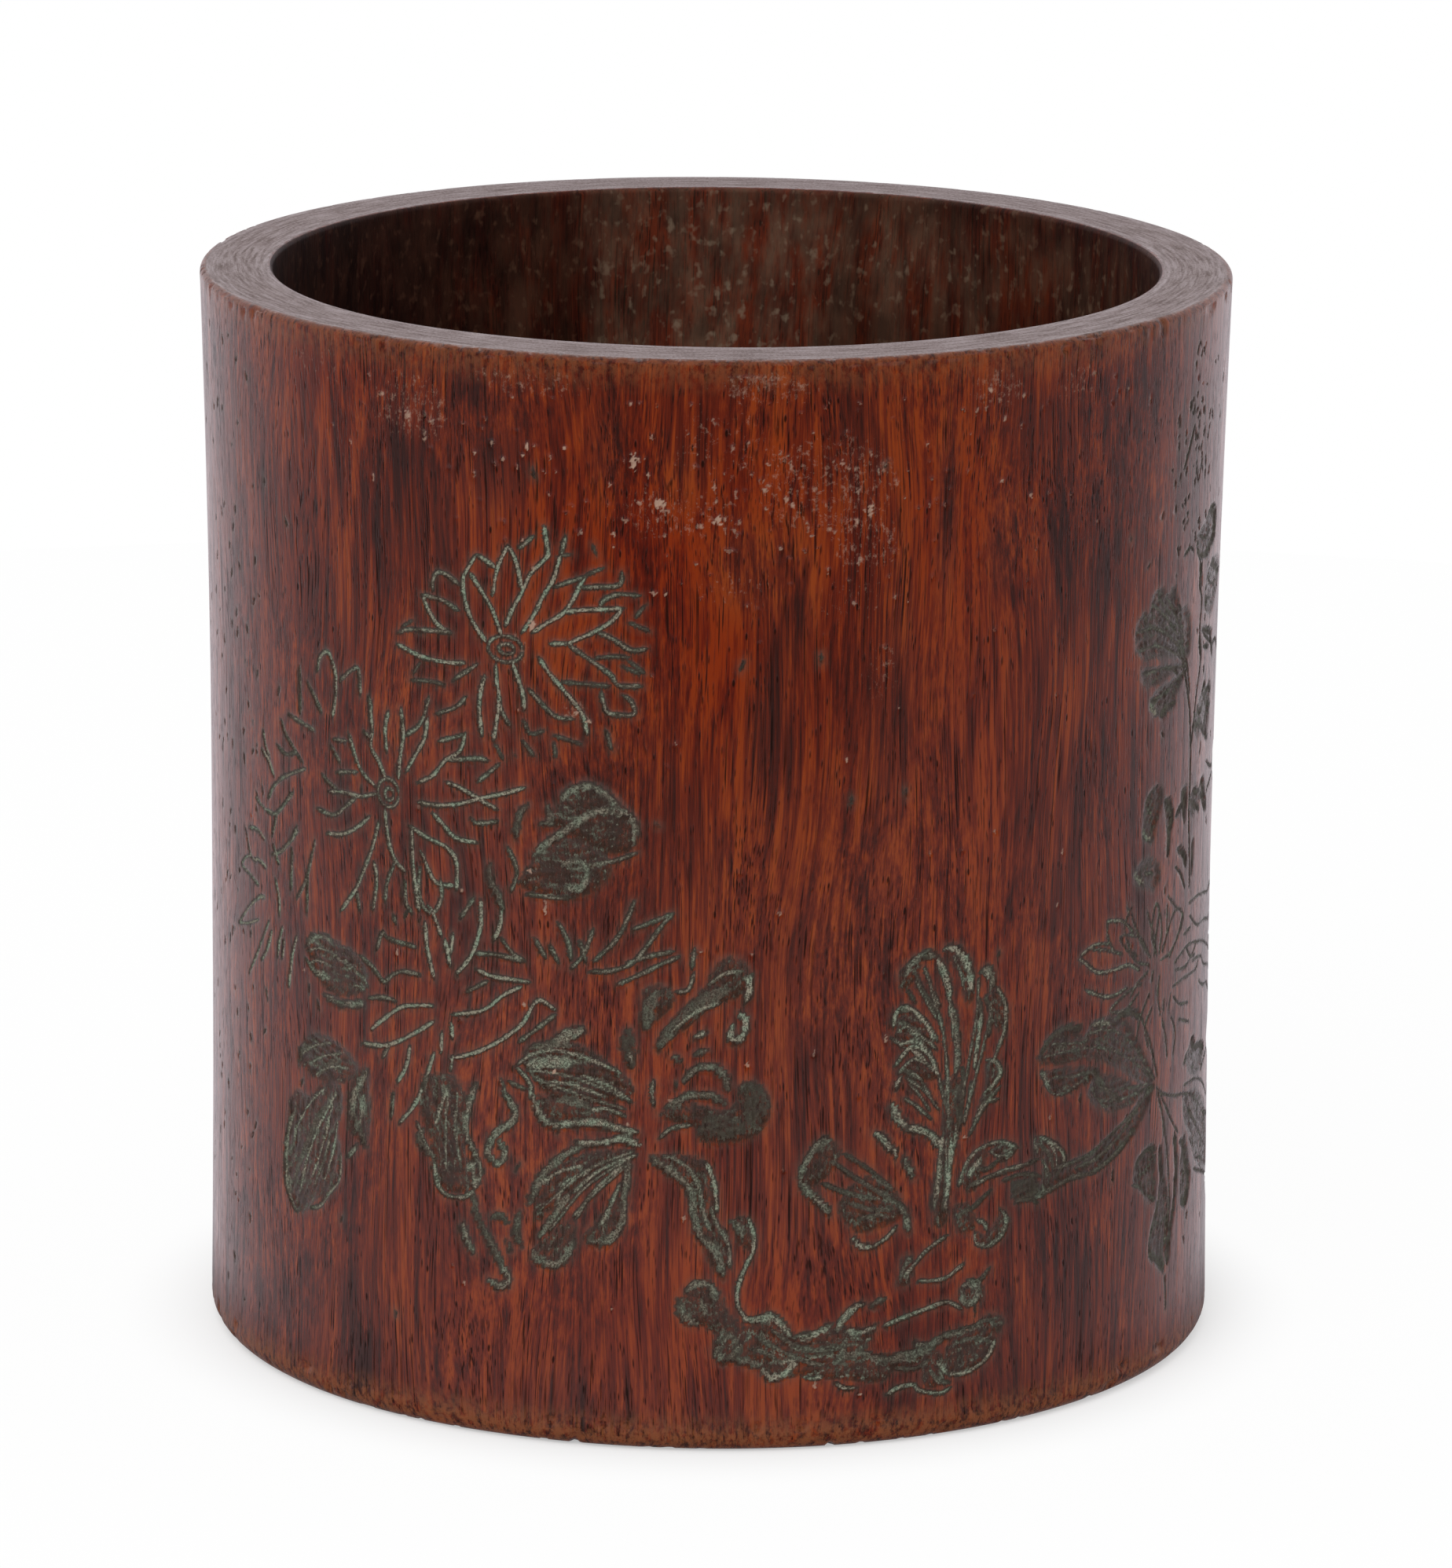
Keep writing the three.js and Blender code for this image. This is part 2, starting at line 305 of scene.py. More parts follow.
LEAVES_LEFT = [
    ("hollow", 0.3, [
        (-75.4, 75.2, -72.8, 77.6, -68.6, 77.8, -61.8, 76, -60.2, 72, -62, 70, -66.5, 68.6, -70.4, 69.4,
         -73.4, 72),
        (-77.4, 55.3, -76.7, 58.6, -73, 61, -66.8, 60.6, -62, 57, -66.8, 54, -72.5, 53.6),
        (-80.4, 48.4, -77.6, 50.6, -74, 50.4, -70, 54, -66.4, 53, -66.2, 49, -67.6, 46.4, -66.4, 43, -67.4,
         39.6,
         -66.8, 37, -70, 34, -72.4, 33.4, -75, 30.8, -78, 30.2, -81.2, 33.4, -81, 37.2, -82, 40.6, -80.8,
         43.6),
        (-64.4, 54, -60.4, 57.8, -60, 47, -64.3, 46.6),
        (-48.6, 58.8, -43, 59.4, -40.2, 55, -40.6, 48, -39.6, 41.4, -43.6, 40, -46.6, 42, -47.4, 48, -49.4,
         53),
    ]),
    ("broad", 0.48, [
        (-75.4, 75.2, -72.8, 77.3, -68.6, 77.6),
        (-70.2, 67.9, -66.5, 67.4, -60.8, 68.4),
        (-63.9, 50.1, -63.4, 52.7, -60.5, 57.4),
        (-81.2, 38.6, -81.3, 35.6, -80.1, 32.8),
        (-38.8, 58.8, -40.1, 54.9, -40.6, 50.7, -38.8, 46.6, -38, 44, -39.3, 40.8),
        (-33.9, 58, -32, 55.4, -32.3, 53.3, -35.4, 50.7, -36.5, 47.6, -34.9, 46, -33.6, 47.6, -34.9, 50.2),
        (-41.2, 35.4, -40.6, 33, -39, 30.4),
        (-34.4, 29.4, -32.8, 26.9, -34.4, 25.6, -36.5, 26.5),
    ]),
    ("broad", 0.3, [
        (-77.4, 55.3, -76.7, 57.4, -73.5, 58.7),
        (-72.5, 54.3, -68.9, 56.9, -66.8, 57.7),
        (-64.2, 50.1, -62.6, 47.5, -60.5, 44.4),
        (-69.9, 49.6, -73.5, 45.4, -76.1, 40.7, -78.2, 37.1, -78.8, 34),
        (-48.6, 49.6, -49.6, 47.8, -47.4, 45.6),
        (-39.3, 40.8, -38.5, 36.7, -35.9, 32.5, -33.9, 28.9),
        (-35.9, 36.9, -34.4, 37.4, -33, 36.2),
        (-31, 38.4, -31.6, 34.6, -30.6, 33),
        (-33.2, 33.4, -32.4, 31.4),
    ]),
    ("line", 0.6, [
        (-39.3, 40.8, -41.1, 39.5, -44.3, 39.5, -46.1, 41.4, -46.6, 44.5),
        (-50, 50.7, -48.4, 47.6, -46.9, 45.5),
        (-78.8, 47.5, -80.8, 42.8, -81.6, 38.1, -81.4, 34, -79.3, 30.8, -77.7, 29.8),
        (-66.5, 42.3, -66.8, 38.1, -68.9, 35.5, -71.5, 32.4, -74.1, 31.4),
        (-75.6, 73.2, -73, 71.4, -70.2, 70.8),
        (-43.8, 58.2, -45.4, 54, -46.6, 50.4),
    ]),
    ("rib", 0.55, [
        (-75, 74.4, -72, 75.4, -68, 75, -64, 73.4),
        (-74.4, 72.6, -71.8, 73.4, -69, 73),
        (-66, 75, -62.5, 73, -60, 71.4),
        (-64, 71.2, -60.8, 70.6),
        (-76.8, 57, -73, 59, -69, 60.2),
        (-75, 55.4, -71.5, 57.4, -66.5, 59),
        (-73, 54.4, -69, 56.2, -64.6, 56.8),
        (-72.4, 46, -75, 41, -76.6, 35.6),
        (-69.4, 44, -71.2, 40, -73.6, 35),
        (-78.6, 44, -79.6, 40),
        (-44, 58, -44.6, 50, -44.4, 43),
        (-42.4, 57, -42.6, 50, -41.6, 44),
        (-34.2, 60, -33.4, 57.4, -32.4, 55),
    ]),
    ("rib", 0.75, [
        (-67.4, 52.4, -71, 47.6, -74.8, 41, -77.6, 33.6),
        (-68.8, 50.4, -70.6, 44.4, -74, 36.6),
        (-70.6, 52.4, -75.4, 48.2, -79.6, 42.4),
        (-67.2, 47.6, -68.8, 41.6, -71, 36.4),
    ]),
    ("broad", 0.52, [
        (-62, 48.4, -61.6, 53),
        (-39.6, 46, -39, 42),
        (-72.8, 71.5, -71.2, 71.2, -69.8, 71),
        (-64.8, 42, -62.6, 44.4),
    ]),
]

LEAF_DROOPING = [
    ("hollow", 0.3, [
        (-12, 50.2, -16, 50, -22.4, 48, -26.6, 44.6, -28.2, 40.4, -27.6, 37, -22.6, 42.4, -17.4, 46.8),
        (-28.8, 32.4, -27.6, 30.3, -25, 30, -22.9, 31.5, -21.5, 35.1, -21.4, 38.2, -24.2, 36.8),
        (-20.4, 35.4, -18, 34.2, -15.3, 35.2, -13.8, 38.8, -13.4, 44, -16.4, 40.2),
    ]),
    ("broad", 0.7, [
        (-21.6, 50.7, -17.7, 51, -14.1, 51.8, -11.2, 51),
    ]),
    ("broad", 0.41, [
        (-20.8, 49.9, -23.4, 48.6, -26.6, 45.5, -28.1, 42.9, -29.2, 39.8),
        (-12.8, 48.6, -13.5, 42.9, -13.8, 38.8, -15.1, 35.8, -17.2, 34.5, -19.8, 34.9),
        (-28.8, 32.2, -27.6, 30.6, -25, 30.2, -22.9, 31.8, -21.8, 34.8),
        (-22.4, 42.4, -25.6, 37.6, -27.6, 34.4),
    ]),
    ("line", 0.6, [
        (-11.5, 49.4, -15.6, 47.6, -18.8, 45.5, -21.9, 42.4),
        (-21.4, 38.2, -19.3, 41.9, -16.1, 45.5, -13.5, 47.6),
        (-27.4, 43.4, -24.4, 45.6, -20.4, 47),
        (-24.8, 40, -23.4, 43.8, -19.6, 45.9),
        (-17.6, 37, -15.8, 40.8, -14.2, 44.6),
    ]),
    ("rib", 0.5, [
        (-12, 50, -20, 46, -28, 38.6),
        (-13, 48.6, -20, 43.4, -26, 35.6),
        (-13, 47.6, -18, 43, -22, 38.4),
    ]),
]

LEAF_CROSSING = [
    ("hollow", 0.3, [
        (-31, 63.6, -29, 66.4, -24, 67.6, -19, 66, -13.4, 62.2, -12.4, 59.4, -17, 57.6, -24, 57.2, -27.6,
         59.6),
        (-28.4, 58.2, -26.4, 54.6, -21.9, 54.3, -15, 54.3, -16.4, 56.6, -22, 57.4),
    ]),
    ("wide", 0.52, [
        (-25.4, 67.2, -23, 68.4, -20.4, 69.4),
        (-29.8, 62.9, -26, 63.6, -21.6, 64),
    ]),
    ("broad", 0.59, [
        (-29.4, 58.8, -27.6, 54.9, -25.5, 53.3, -21.9, 53.9, -17.7, 54.1, -13.5, 53.3, -11.5, 53.1),
    ]),
    ("broad", 0.33, [
        (-29.2, 65.8, -26, 66.4, -22.4, 66.6),
        (-24.6, 57.4, -21.9, 57.6, -19.3, 56.6),
    ]),
    ("line", 0.6, [
        (-31.8, 62.4, -29.7, 60.4, -28.8, 58.6),
        (-31.6, 62.6, -29, 64.6, -25, 65.6, -18.8, 64.4, -14, 62.6),
        (-19.3, 56.2, -16.7, 56.7, -13.5, 55.7),
        (-21, 62, -15.6, 60.1, -12.5, 58),
        (-26, 60.4, -21.4, 60, -17, 58.6),
    ]),
    ("rib", 0.5, [
        (-30, 62, -22, 61.4, -13, 58.4),
        (-28.6, 60.6, -21, 58.6, -13.4, 56.8),
    ]),
]

LEAVES_CENTRE = [
    ("hollow", 0.25, [
        (-7.8, 70, -4.6, 73.6, -1, 77.4, 1.4, 81.6, 4.6, 81.8, 6.2, 79, 4.2, 75.6, 0.4, 74.4, -4.4, 70),
        (-10.8, 69.8, -10.6, 76.6, -6.6, 77.2, -5.6, 75.2, -8, 72),
        (-8.4, 56, -5, 58.6, -1, 57.8, 2, 57, 4.6, 58.8, 4.4, 61.2, 6.2, 62, 8.8, 60.4, 9.8, 57, 8.4, 53.8,
         5.8, 52.4,
         1.8, 51.6, -1.6, 52.2, -2.4, 54.4, -5, 54.8),
    ]),
    ("pit", 0.15, [
        (4.8, 60.6, 6.4, 61.6, 8.6, 60, 9.4, 57, 7.6, 54.6, 5.6, 55.2, 5.8, 58.2),
        (-14.4, 68.4, -13, 70.4, -11.9, 68.4, -11.8, 64.6, -12.6, 63.4, -13.6, 65),
        (-2, 53, 2, 52.4, 6, 53.6, 4, 55.6, -1, 55.8),
    ]),
    ("wide", 0.3, [
        (-8.2, 67.4, -4.8, 71.8, -0.6, 75.2, 3.2, 77),
        (-10.2, 70.4, -9.9, 73.8, -8.4, 76),
    ]),
    ("broad", 0.7, [
        (6.2, 79.4, 6.1, 76.8, 5.5, 74.6),
        (4.4, 73.2, 5.6, 71.6, 5, 69, 3.4, 68.8, 3.6, 71),
        (-2.6, 68.8, -0.8, 69.8),
    ]),
    ("broad", 0.37, [
        (-2.4, 66.4, -0.4, 66.8),
        (-4.2, 61.7, -2.1, 63.9, 1, 64, 2.6, 62, 2.7, 60.2),
        (-7, 57.6, -4.7, 58.6, -3.1, 59.5, 0, 59.5, 2.6, 58),
        (-6, 65.8, -4.8, 65.2),
    ]),
    ("line", 0.55, [
        (-9, 61.8, -9.2, 59.6, -8.9, 57.6),
        (-12.9, 66.4, -12.5, 64.2),
        (-6.4, 69.6, -2.4, 73, 1.6, 74.8),
        (-5.6, 76.4, -3.6, 76.8, -2.6, 79.6),
        (-8, 52.2, -6, 54, -3, 54.6),
        (-0.4, 77.6, 2.2, 79.4, 5, 79.8),
    ]),
]

STEM_LEFT = [
    ("hollow", 0.3, [
        (-9.6, 49.4, -4.6, 49.8, -0.6, 48.4, 0.6, 44, 1.2, 39, 3.4, 36.6, 3, 31, 1.6, 29.6, -0.6, 33.4,
         -1.8, 36.4,
         -2.8, 40, -3.6, 44, -7.6, 47),
        (3.6, 38.8, 5.7, 39.5, 7.2, 36.7, 6.8, 33.8, 4.6, 35.8),
        (-3.4, 27.6, -0.6, 28.8, 1.6, 27.4, 3.4, 23.4, 5.6, 21.4, 2.4, 19.8, -0.4, 21.2, -3.4, 21.8, -4.6,
         24.6),
    ]),
    ("broad", 0.41, [
        (-9.4, 49, -5.6, 46.4, -3.2, 44.2, -2.5, 40, -1.4, 36.4, 1, 34, 2, 31.6, 2.3, 29.6),
        (3.6, 38.8, 5, 37.4, 5.6, 35.6),
    ]),
    ("line", 0.85, [
        (6.2, 39.3, 7.2, 36.7, 7.1, 33.8, 6, 31.4, 4.9, 28.3, 4.6, 25.4, 5.8, 22.9, 7.6, 22.2),
        (-0.5, 48.6, 0.8, 45, 1.3, 40.3),
    ]),
    ("line", 0.5, [
        (-6.6, 49.4, -3.4, 47.4, -1.6, 44, -0.9, 40, 0.2, 37),
        (0.2, 41, 1.6, 37.6, 3.2, 34.6, 3.4, 31),
    ]),
    ("broad", 0.44, [
        (-3.6, 27, -1.8, 28.4, 0.4, 27.8, 1.2, 25.4),
        (-4.5, 25.6, -3.9, 22.8, -1.8, 21.7),
        (-1.2, 25.6, -0.6, 23.4),
        (1.4, 18.6, 3, 19.4, 4.6, 18.4, 4.4, 16.4, 2.4, 15.8, 1.4, 17.2, 2.6, 17.8),
    ]),
]

ROCK = [
    ("hollow", 0.35, [
        (5.4, 21, 7.8, 22, 9.9, 22.6, 11.7, 21.4, 13.3, 19.4, 16, 19, 19.8, 20.6, 24, 20.2, 27, 19.4, 25.8,
         17,
         27.6, 15.4, 33, 14.8, 36.4, 16, 35, 13.4, 30.4, 12.4, 29, 11, 24.4, 11.2, 20.4, 12, 15.2, 12.8,
         10, 12.6, 7.8, 15, 5, 16.4, 7, 18.4),
        (39, 12.6, 40.6, 10.8, 43.9, 10.5, 47.6, 12.3, 49.1, 15.4, 47.7, 18.3, 43.8, 18, 40.4, 16.4),
        (34.8, 14.8, 38.4, 14.6, 39.6, 11, 38, 8.8, 35.6, 9.4, 35.2, 12),
        (1.4, 20.6, 5, 21.4, 7, 18.4, 5, 16.4, 3, 15.6, 1.2, 17.6),
        (30.8, 26.4, 31.6, 31, 33.6, 31, 33, 26.8),
        (41.6, 23.8, 42.8, 25.4, 46, 25.4, 46.4, 22.4, 44, 21.8, 42.2, 22.4),
        (45, 18.6, 47.6, 19.6, 50.2, 18.6, 50, 16.4, 46.4, 16.6),
    ]),
    ("broad", 0.59, [
        (5.6, 22.4, 7.8, 22.3, 9.9, 22.9, 11.7, 21.4, 13.3, 19.6),
        (14.2, 19.4, 16.6, 19.3, 19.8, 20.9),
        (8.6, 14.2, 9.9, 12.6, 12.2, 13, 13.8, 14.8, 11.6, 15.4),
        (20.9, 19.9, 22.1, 22.2, 24.4, 24, 25.4, 24),
        (22.4, 20, 24.6, 19.2, 27.4, 20.2),
        (33.8, 16.8, 35.2, 16.1, 36.2, 16.2),
    ]),
    ("broad", 0.37, [
        (20.4, 14.6, 24.6, 15.9, 28.2, 14.6, 32.9, 14.9, 36, 15.6, 38.6, 16.8, 41.3, 17.4, 46.5, 18),
        (22.6, 18.6, 22, 16.2, 24.2, 15.2),
        (4.2, 15.8, 6.6, 15.2, 8.2, 14.4),
        (26.4, 23.6, 28.6, 24.6),
    ]),
    ("line", 0.75, [
        (15.1, 12.7, 16.8, 12.2, 18.6, 12.4),
        (20.4, 11.4, 22, 10.3, 24.1, 10.2),
        (29.3, 8.6, 31.2, 9.5, 33.8, 9.7, 35, 8.6, 38.6, 7.7, 40.6, 8.4),
        (28.4, 20, 31.4, 21, 35, 21.9, 39.2, 22.8, 41.1, 22.2, 42.6, 21.2),
        (34.6, 27, 37.6, 26.7, 39.8, 27, 42.8, 28.8),
        (38.1, 13.2, 38.9, 12, 40.1, 10.6),
        (40.1, 10.6, 43.9, 10.5, 47.5, 12.4, 49, 15),
    ]),
    ("line", 0.35, [
        (41.4, 17.4, 44.6, 17.9, 47.6, 18.6, 49.2, 17.4),
        (42.4, 15.8, 45.4, 15.8, 48.2, 14.9),
        (43.4, 26, 45.8, 25.6, 47.8, 27.4),
        (31.4, 27.4, 32.2, 29.4, 33.4, 30.4),
        (8, 19.4, 11, 17.4, 14.8, 15.4, 18.6, 14.2),
        (12.8, 18, 17, 16.8, 21, 17.4),
        (30.6, 12.8, 34, 12.4, 37, 13.4),
        (10, 20.6, 14, 17.8, 19, 16.6, 24, 17.6),
        (7, 17.4, 9, 16.8, 11, 15.6),
        (30, 13.6, 34, 14.4, 37.6, 15.4),
        (37, 11.6, 38.4, 9.8, 40.4, 9.2),
    ]),
    ("broad", 0.44, [
        (42.4, 24.8, 44.4, 25.4, 45.8, 23.8, 44.6, 22, 42.8, 22.6, 43, 24),
    ]),
]

SPRAY_CENTRE = [
    ("hollow", 0.3, [
        (30.4, 78.2, 32, 80, 34.6, 79.6, 33, 76.6, 31.2, 75.6),
        (30.4, 71, 33.6, 71.4, 37, 66.6, 33, 65.4, 30.2, 67),
        (30.6, 62.4, 33.4, 64.2, 36.4, 62.6, 37.6, 60.4, 33.4, 60.4),
        (38.6, 81.8, 41.4, 81.2, 43.9, 77.2, 44.2, 73, 42.6, 72.4, 41.4, 76.6),
        (45.6, 72.4, 48.4, 73.8, 50.2, 70.8, 49.8, 66.4, 48, 68),
        (46.4, 61.4, 48.6, 62, 49.8, 59.4, 46, 54, 44.6, 53.6, 46.4, 57.6),
        (38.2, 60, 41.6, 60, 42, 52.6, 40.4, 44, 39.6, 36.6, 37, 36.4, 38, 44, 38.6, 52),
        (15, 49, 18, 51.8, 21, 50.4, 20.4, 47.6, 17, 44.4, 14.6, 45.6),
        (20.6, 40.2, 22.4, 43.6, 27, 45.4, 31, 41.6, 31.6, 38.2, 28, 36.6, 23.6, 36.4),
        (42, 42.6, 44.4, 47, 47, 47.4, 46, 43.4, 44, 40.6),
        (47.2, 47, 50.6, 48.2, 53, 46.4, 50, 44.6),
        (56.4, 47.2, 59, 47.6, 62.6, 45, 63.6, 42.4, 60.4, 38.4, 57, 37.4, 58.4, 41.8),
        (40.4, 38.6, 43.6, 38.6, 45, 34.6, 41.6, 34.4),
        (44.8, 34, 45.6, 31.6, 48, 31.2, 50.9, 33, 51.2, 35.4, 49.8, 36.2, 47, 33.4),
    ]),
    ("broad", 0.74, [
        (37.3, 80.2, 38.6, 77.6, 39.4, 75.2, 39.6, 72.8),
        (38.6, 81.7, 40.8, 81.2, 42.6, 79.2, 43.6, 76, 43.6, 73.6),
        (23.3, 35.2, 24.8, 33.6, 26.8, 33.4),
        (26.8, 52.4, 28.6, 50.8, 30.2, 48.6),
    ]),
    ("broad", 0.44, [
        (31.8, 77.8, 33.3, 80.2, 35.4, 81, 37.1, 80.4),
        (40.1, 72, 40.9, 68, 41.2, 64, 41.1, 60.6),
        (45.3, 76.8, 46.9, 77.2, 47.8, 75.2, 47.2, 73.4),
        (29.6, 56.6, 30.7, 54.2, 32.6, 52.6, 34.4, 51.9),
        (30.2, 72.1, 31.6, 72.4, 33, 71.8),
        (14.4, 45.6, 15.8, 48.8, 18.1, 51.6, 19.8, 51.3),
        (14.4, 45.2, 16.4, 42.8, 19.6, 39.4),
        (31.8, 47.8, 32.7, 46, 33.6, 44.2),
        (31.2, 40.4, 32.2, 38.2, 32.8, 35.4),
        (56.8, 47.4, 57.4, 44.8),
        (57, 37.6, 59.4, 38.4),
        (38.6, 48.4, 37.9, 42.8, 37.2, 38.6),
    ]),
    ("line", 0.6, [
        (37.5, 79, 38.8, 76.2, 40.1, 71, 40.6, 66),
        (48.4, 74.2, 50.3, 71, 50.3, 66.9, 49, 63.8, 47.9, 61.1),
        (45.3, 69.4, 45, 66, 44.4, 62),
        (33.6, 71.6, 35.6, 69.8, 37.6, 66.4),
        (29.2, 67.9, 31.3, 66.6, 33.9, 66.8, 36.5, 64.6),
        (30.7, 61.7, 33.3, 63.8, 35.4, 63.2, 37.5, 61.1),
        (34.4, 51.9, 36.5, 51.4, 38.5, 49.4),
        (26.7, 33.4, 29.3, 35, 30.6, 36.6),
        (44.3, 51.8, 46.4, 54.9, 49.2, 55.4),
        (46.6, 62.2, 48.6, 61.6, 49.6, 59.6, 48, 57.6, 46, 56.4),
        (41.7, 41.9, 43.2, 45.5, 45.8, 47.6, 49.5, 48.1, 53.1, 46.6),
        (44.9, 34, 45.2, 31.9, 47.5, 31.1, 50.1, 32.4, 51.1, 35, 49.6, 37.1),
        (45.2, 35.8, 46.6, 35, 47.2, 33.6),
        (32.1, 27.7, 33.4, 29.3, 36, 31.9, 39.7, 34),
        (57.8, 47.6, 61.5, 45.5, 63.5, 42.9, 61.5, 39.8),
    ]),
    ("line", 0.3, [
        (44.8, 73.2, 45.6, 70.4, 45.4, 67.4),
        (46.4, 73, 47.6, 69.8, 47, 66),
        (33.4, 78.4, 34.8, 75.2, 37.4, 71.4),
        (32, 75.6, 33.6, 73.2),
        (31, 70.4, 33, 69.2, 35.4, 66.4),
        (32.2, 69.6, 34.4, 66.8),
        (32, 62.2, 34, 60.6),
        (40.6, 52.3, 39.1, 56.5, 38, 59.6),
        (42.2, 61.6, 42.4, 57, 41.6, 53),
        (43.8, 59, 43.4, 55.6, 42.4, 52.4),
        (40.2, 50, 40, 44, 39, 38),
        (19.9, 48, 24.6, 44.4, 29.3, 41.3, 32.4, 39.2),
        (18.2, 44.6, 22.4, 42.6, 27.4, 41.2),
        (21.8, 49.2, 26, 46.2, 29.8, 42.6),
        (24, 38.2, 28, 38.6),
        (23, 40.8, 26.4, 39.6, 30, 39.4),
        (43.4, 41.4, 47.4, 42.6, 53, 43.2, 57.6, 44),
        (44.6, 44.4, 47, 44, 49.8, 45.4),
        (57.8, 46.4, 60.4, 43.8, 61.4, 41),
        (58.8, 42.2, 60.4, 40.6),
        (50, 41.6, 54, 42, 58, 41),
        (52.6, 37.6, 55.6, 37.6, 57.4, 36.6),
        (41.4, 36.8, 44.4, 38, 47.8, 40.4),
    ]),
    ("rib", 0.55, [
        (45, 76, 44.8, 70, 43.5, 63, 42, 55, 40.5, 47),
        (48, 72, 46.5, 66, 44.5, 59, 42.5, 52),
        (36, 76, 38.5, 68, 39.5, 60, 40, 52),
        (33, 69, 37, 63, 39, 56),
        (35, 79, 36.4, 75.4, 38, 72),
        (33.5, 77, 35.4, 73.4, 37.5, 70),
        (32, 70, 37.5, 65),
        (32, 61, 35.4, 58.4, 38, 55),
        (39.5, 50, 39.5, 38),
    ]),
    ("broad", 0.63, [
        (30.3, 59.4, 31.2, 61.2),
        (33.2, 65.4, 35.4, 63.6),
        (43.5, 43, 46, 46),
        (39.6, 71.8, 40.6, 69.6),
        (32.4, 52.8, 36, 51.4, 38.6, 48.6),
        (29.9, 56.8, 31, 54.2, 32.6, 52.8),
        (46.2, 76.6, 47.4, 75.4),
        (30, 49.8, 30.6, 47.8),
    ]),
    ("line", 0.8, [
        (45.8, 70.4, 45.2, 66, 44.4, 61),
        (38.6, 50.6, 38.2, 45, 38, 40.6),
        (40.4, 50, 40, 44, 39.6, 40),
        (29.8, 69.4, 30.2, 71.6, 32, 72.7, 35, 70.2, 37, 66.6),
        (30, 63, 33, 65.9, 36, 64.4, 38, 60.4),
    ]),
    ("rib", 0.6, [
        (33, 62, 34.6, 60.4, 36.4, 57.6),
        (32.4, 60, 34.4, 58, 36.4, 55),
        (31.8, 57.6, 34, 56, 36.6, 53.6),
        (30.2, 68.4, 32.4, 69.2, 34.6, 66.6),
        (40.2, 80.6, 41.6, 77.6, 42.4, 74.4),
        (59.4, 46.8, 61.6, 44, 61.8, 41.4),
        (58.4, 43.6, 60, 41.4, 60.2, 39.4),
        (44.6, 41.6, 50, 43.2, 56, 43.6),
        (47.6, 46.8, 50, 45.6, 52.6, 46.2),
    ]),
    ("line", 0.5, [
        (49.5, 57.5, 46, 54, 43.5, 50),
    ]),
    ("pit", 0.15, [
        (52, 41.2, 56.8, 41, 57.2, 38, 52.4, 37.8),
        (40.8, 55.6, 41.6, 59, 42.4, 55.6, 41.8, 50.8),
    ]),
]

STEM_RIGHT = [
    ("hollow", 0.2, [
        (60, 41.6, 63.5, 42.4, 69.3, 42.8, 75, 45, 80.6, 47.2, 86, 50.6, 88.4, 49.4, 82.6, 43.6, 78.6, 41.6,
         73, 39.4, 66, 39.2, 60.4, 38.6),
    ]),
    ("line", 0.35, [
        (61.5, 41.6, 69.3, 42.4, 75, 44.5, 83.3, 47.2, 88, 50),
        (56.8, 37.7, 59.9, 38.2, 65.1, 39.3, 70.8, 39.3, 77, 41.2, 82, 44),
        (66, 40.6, 72, 41.4, 77.6, 43.6, 82, 46.4),
    ]),
]

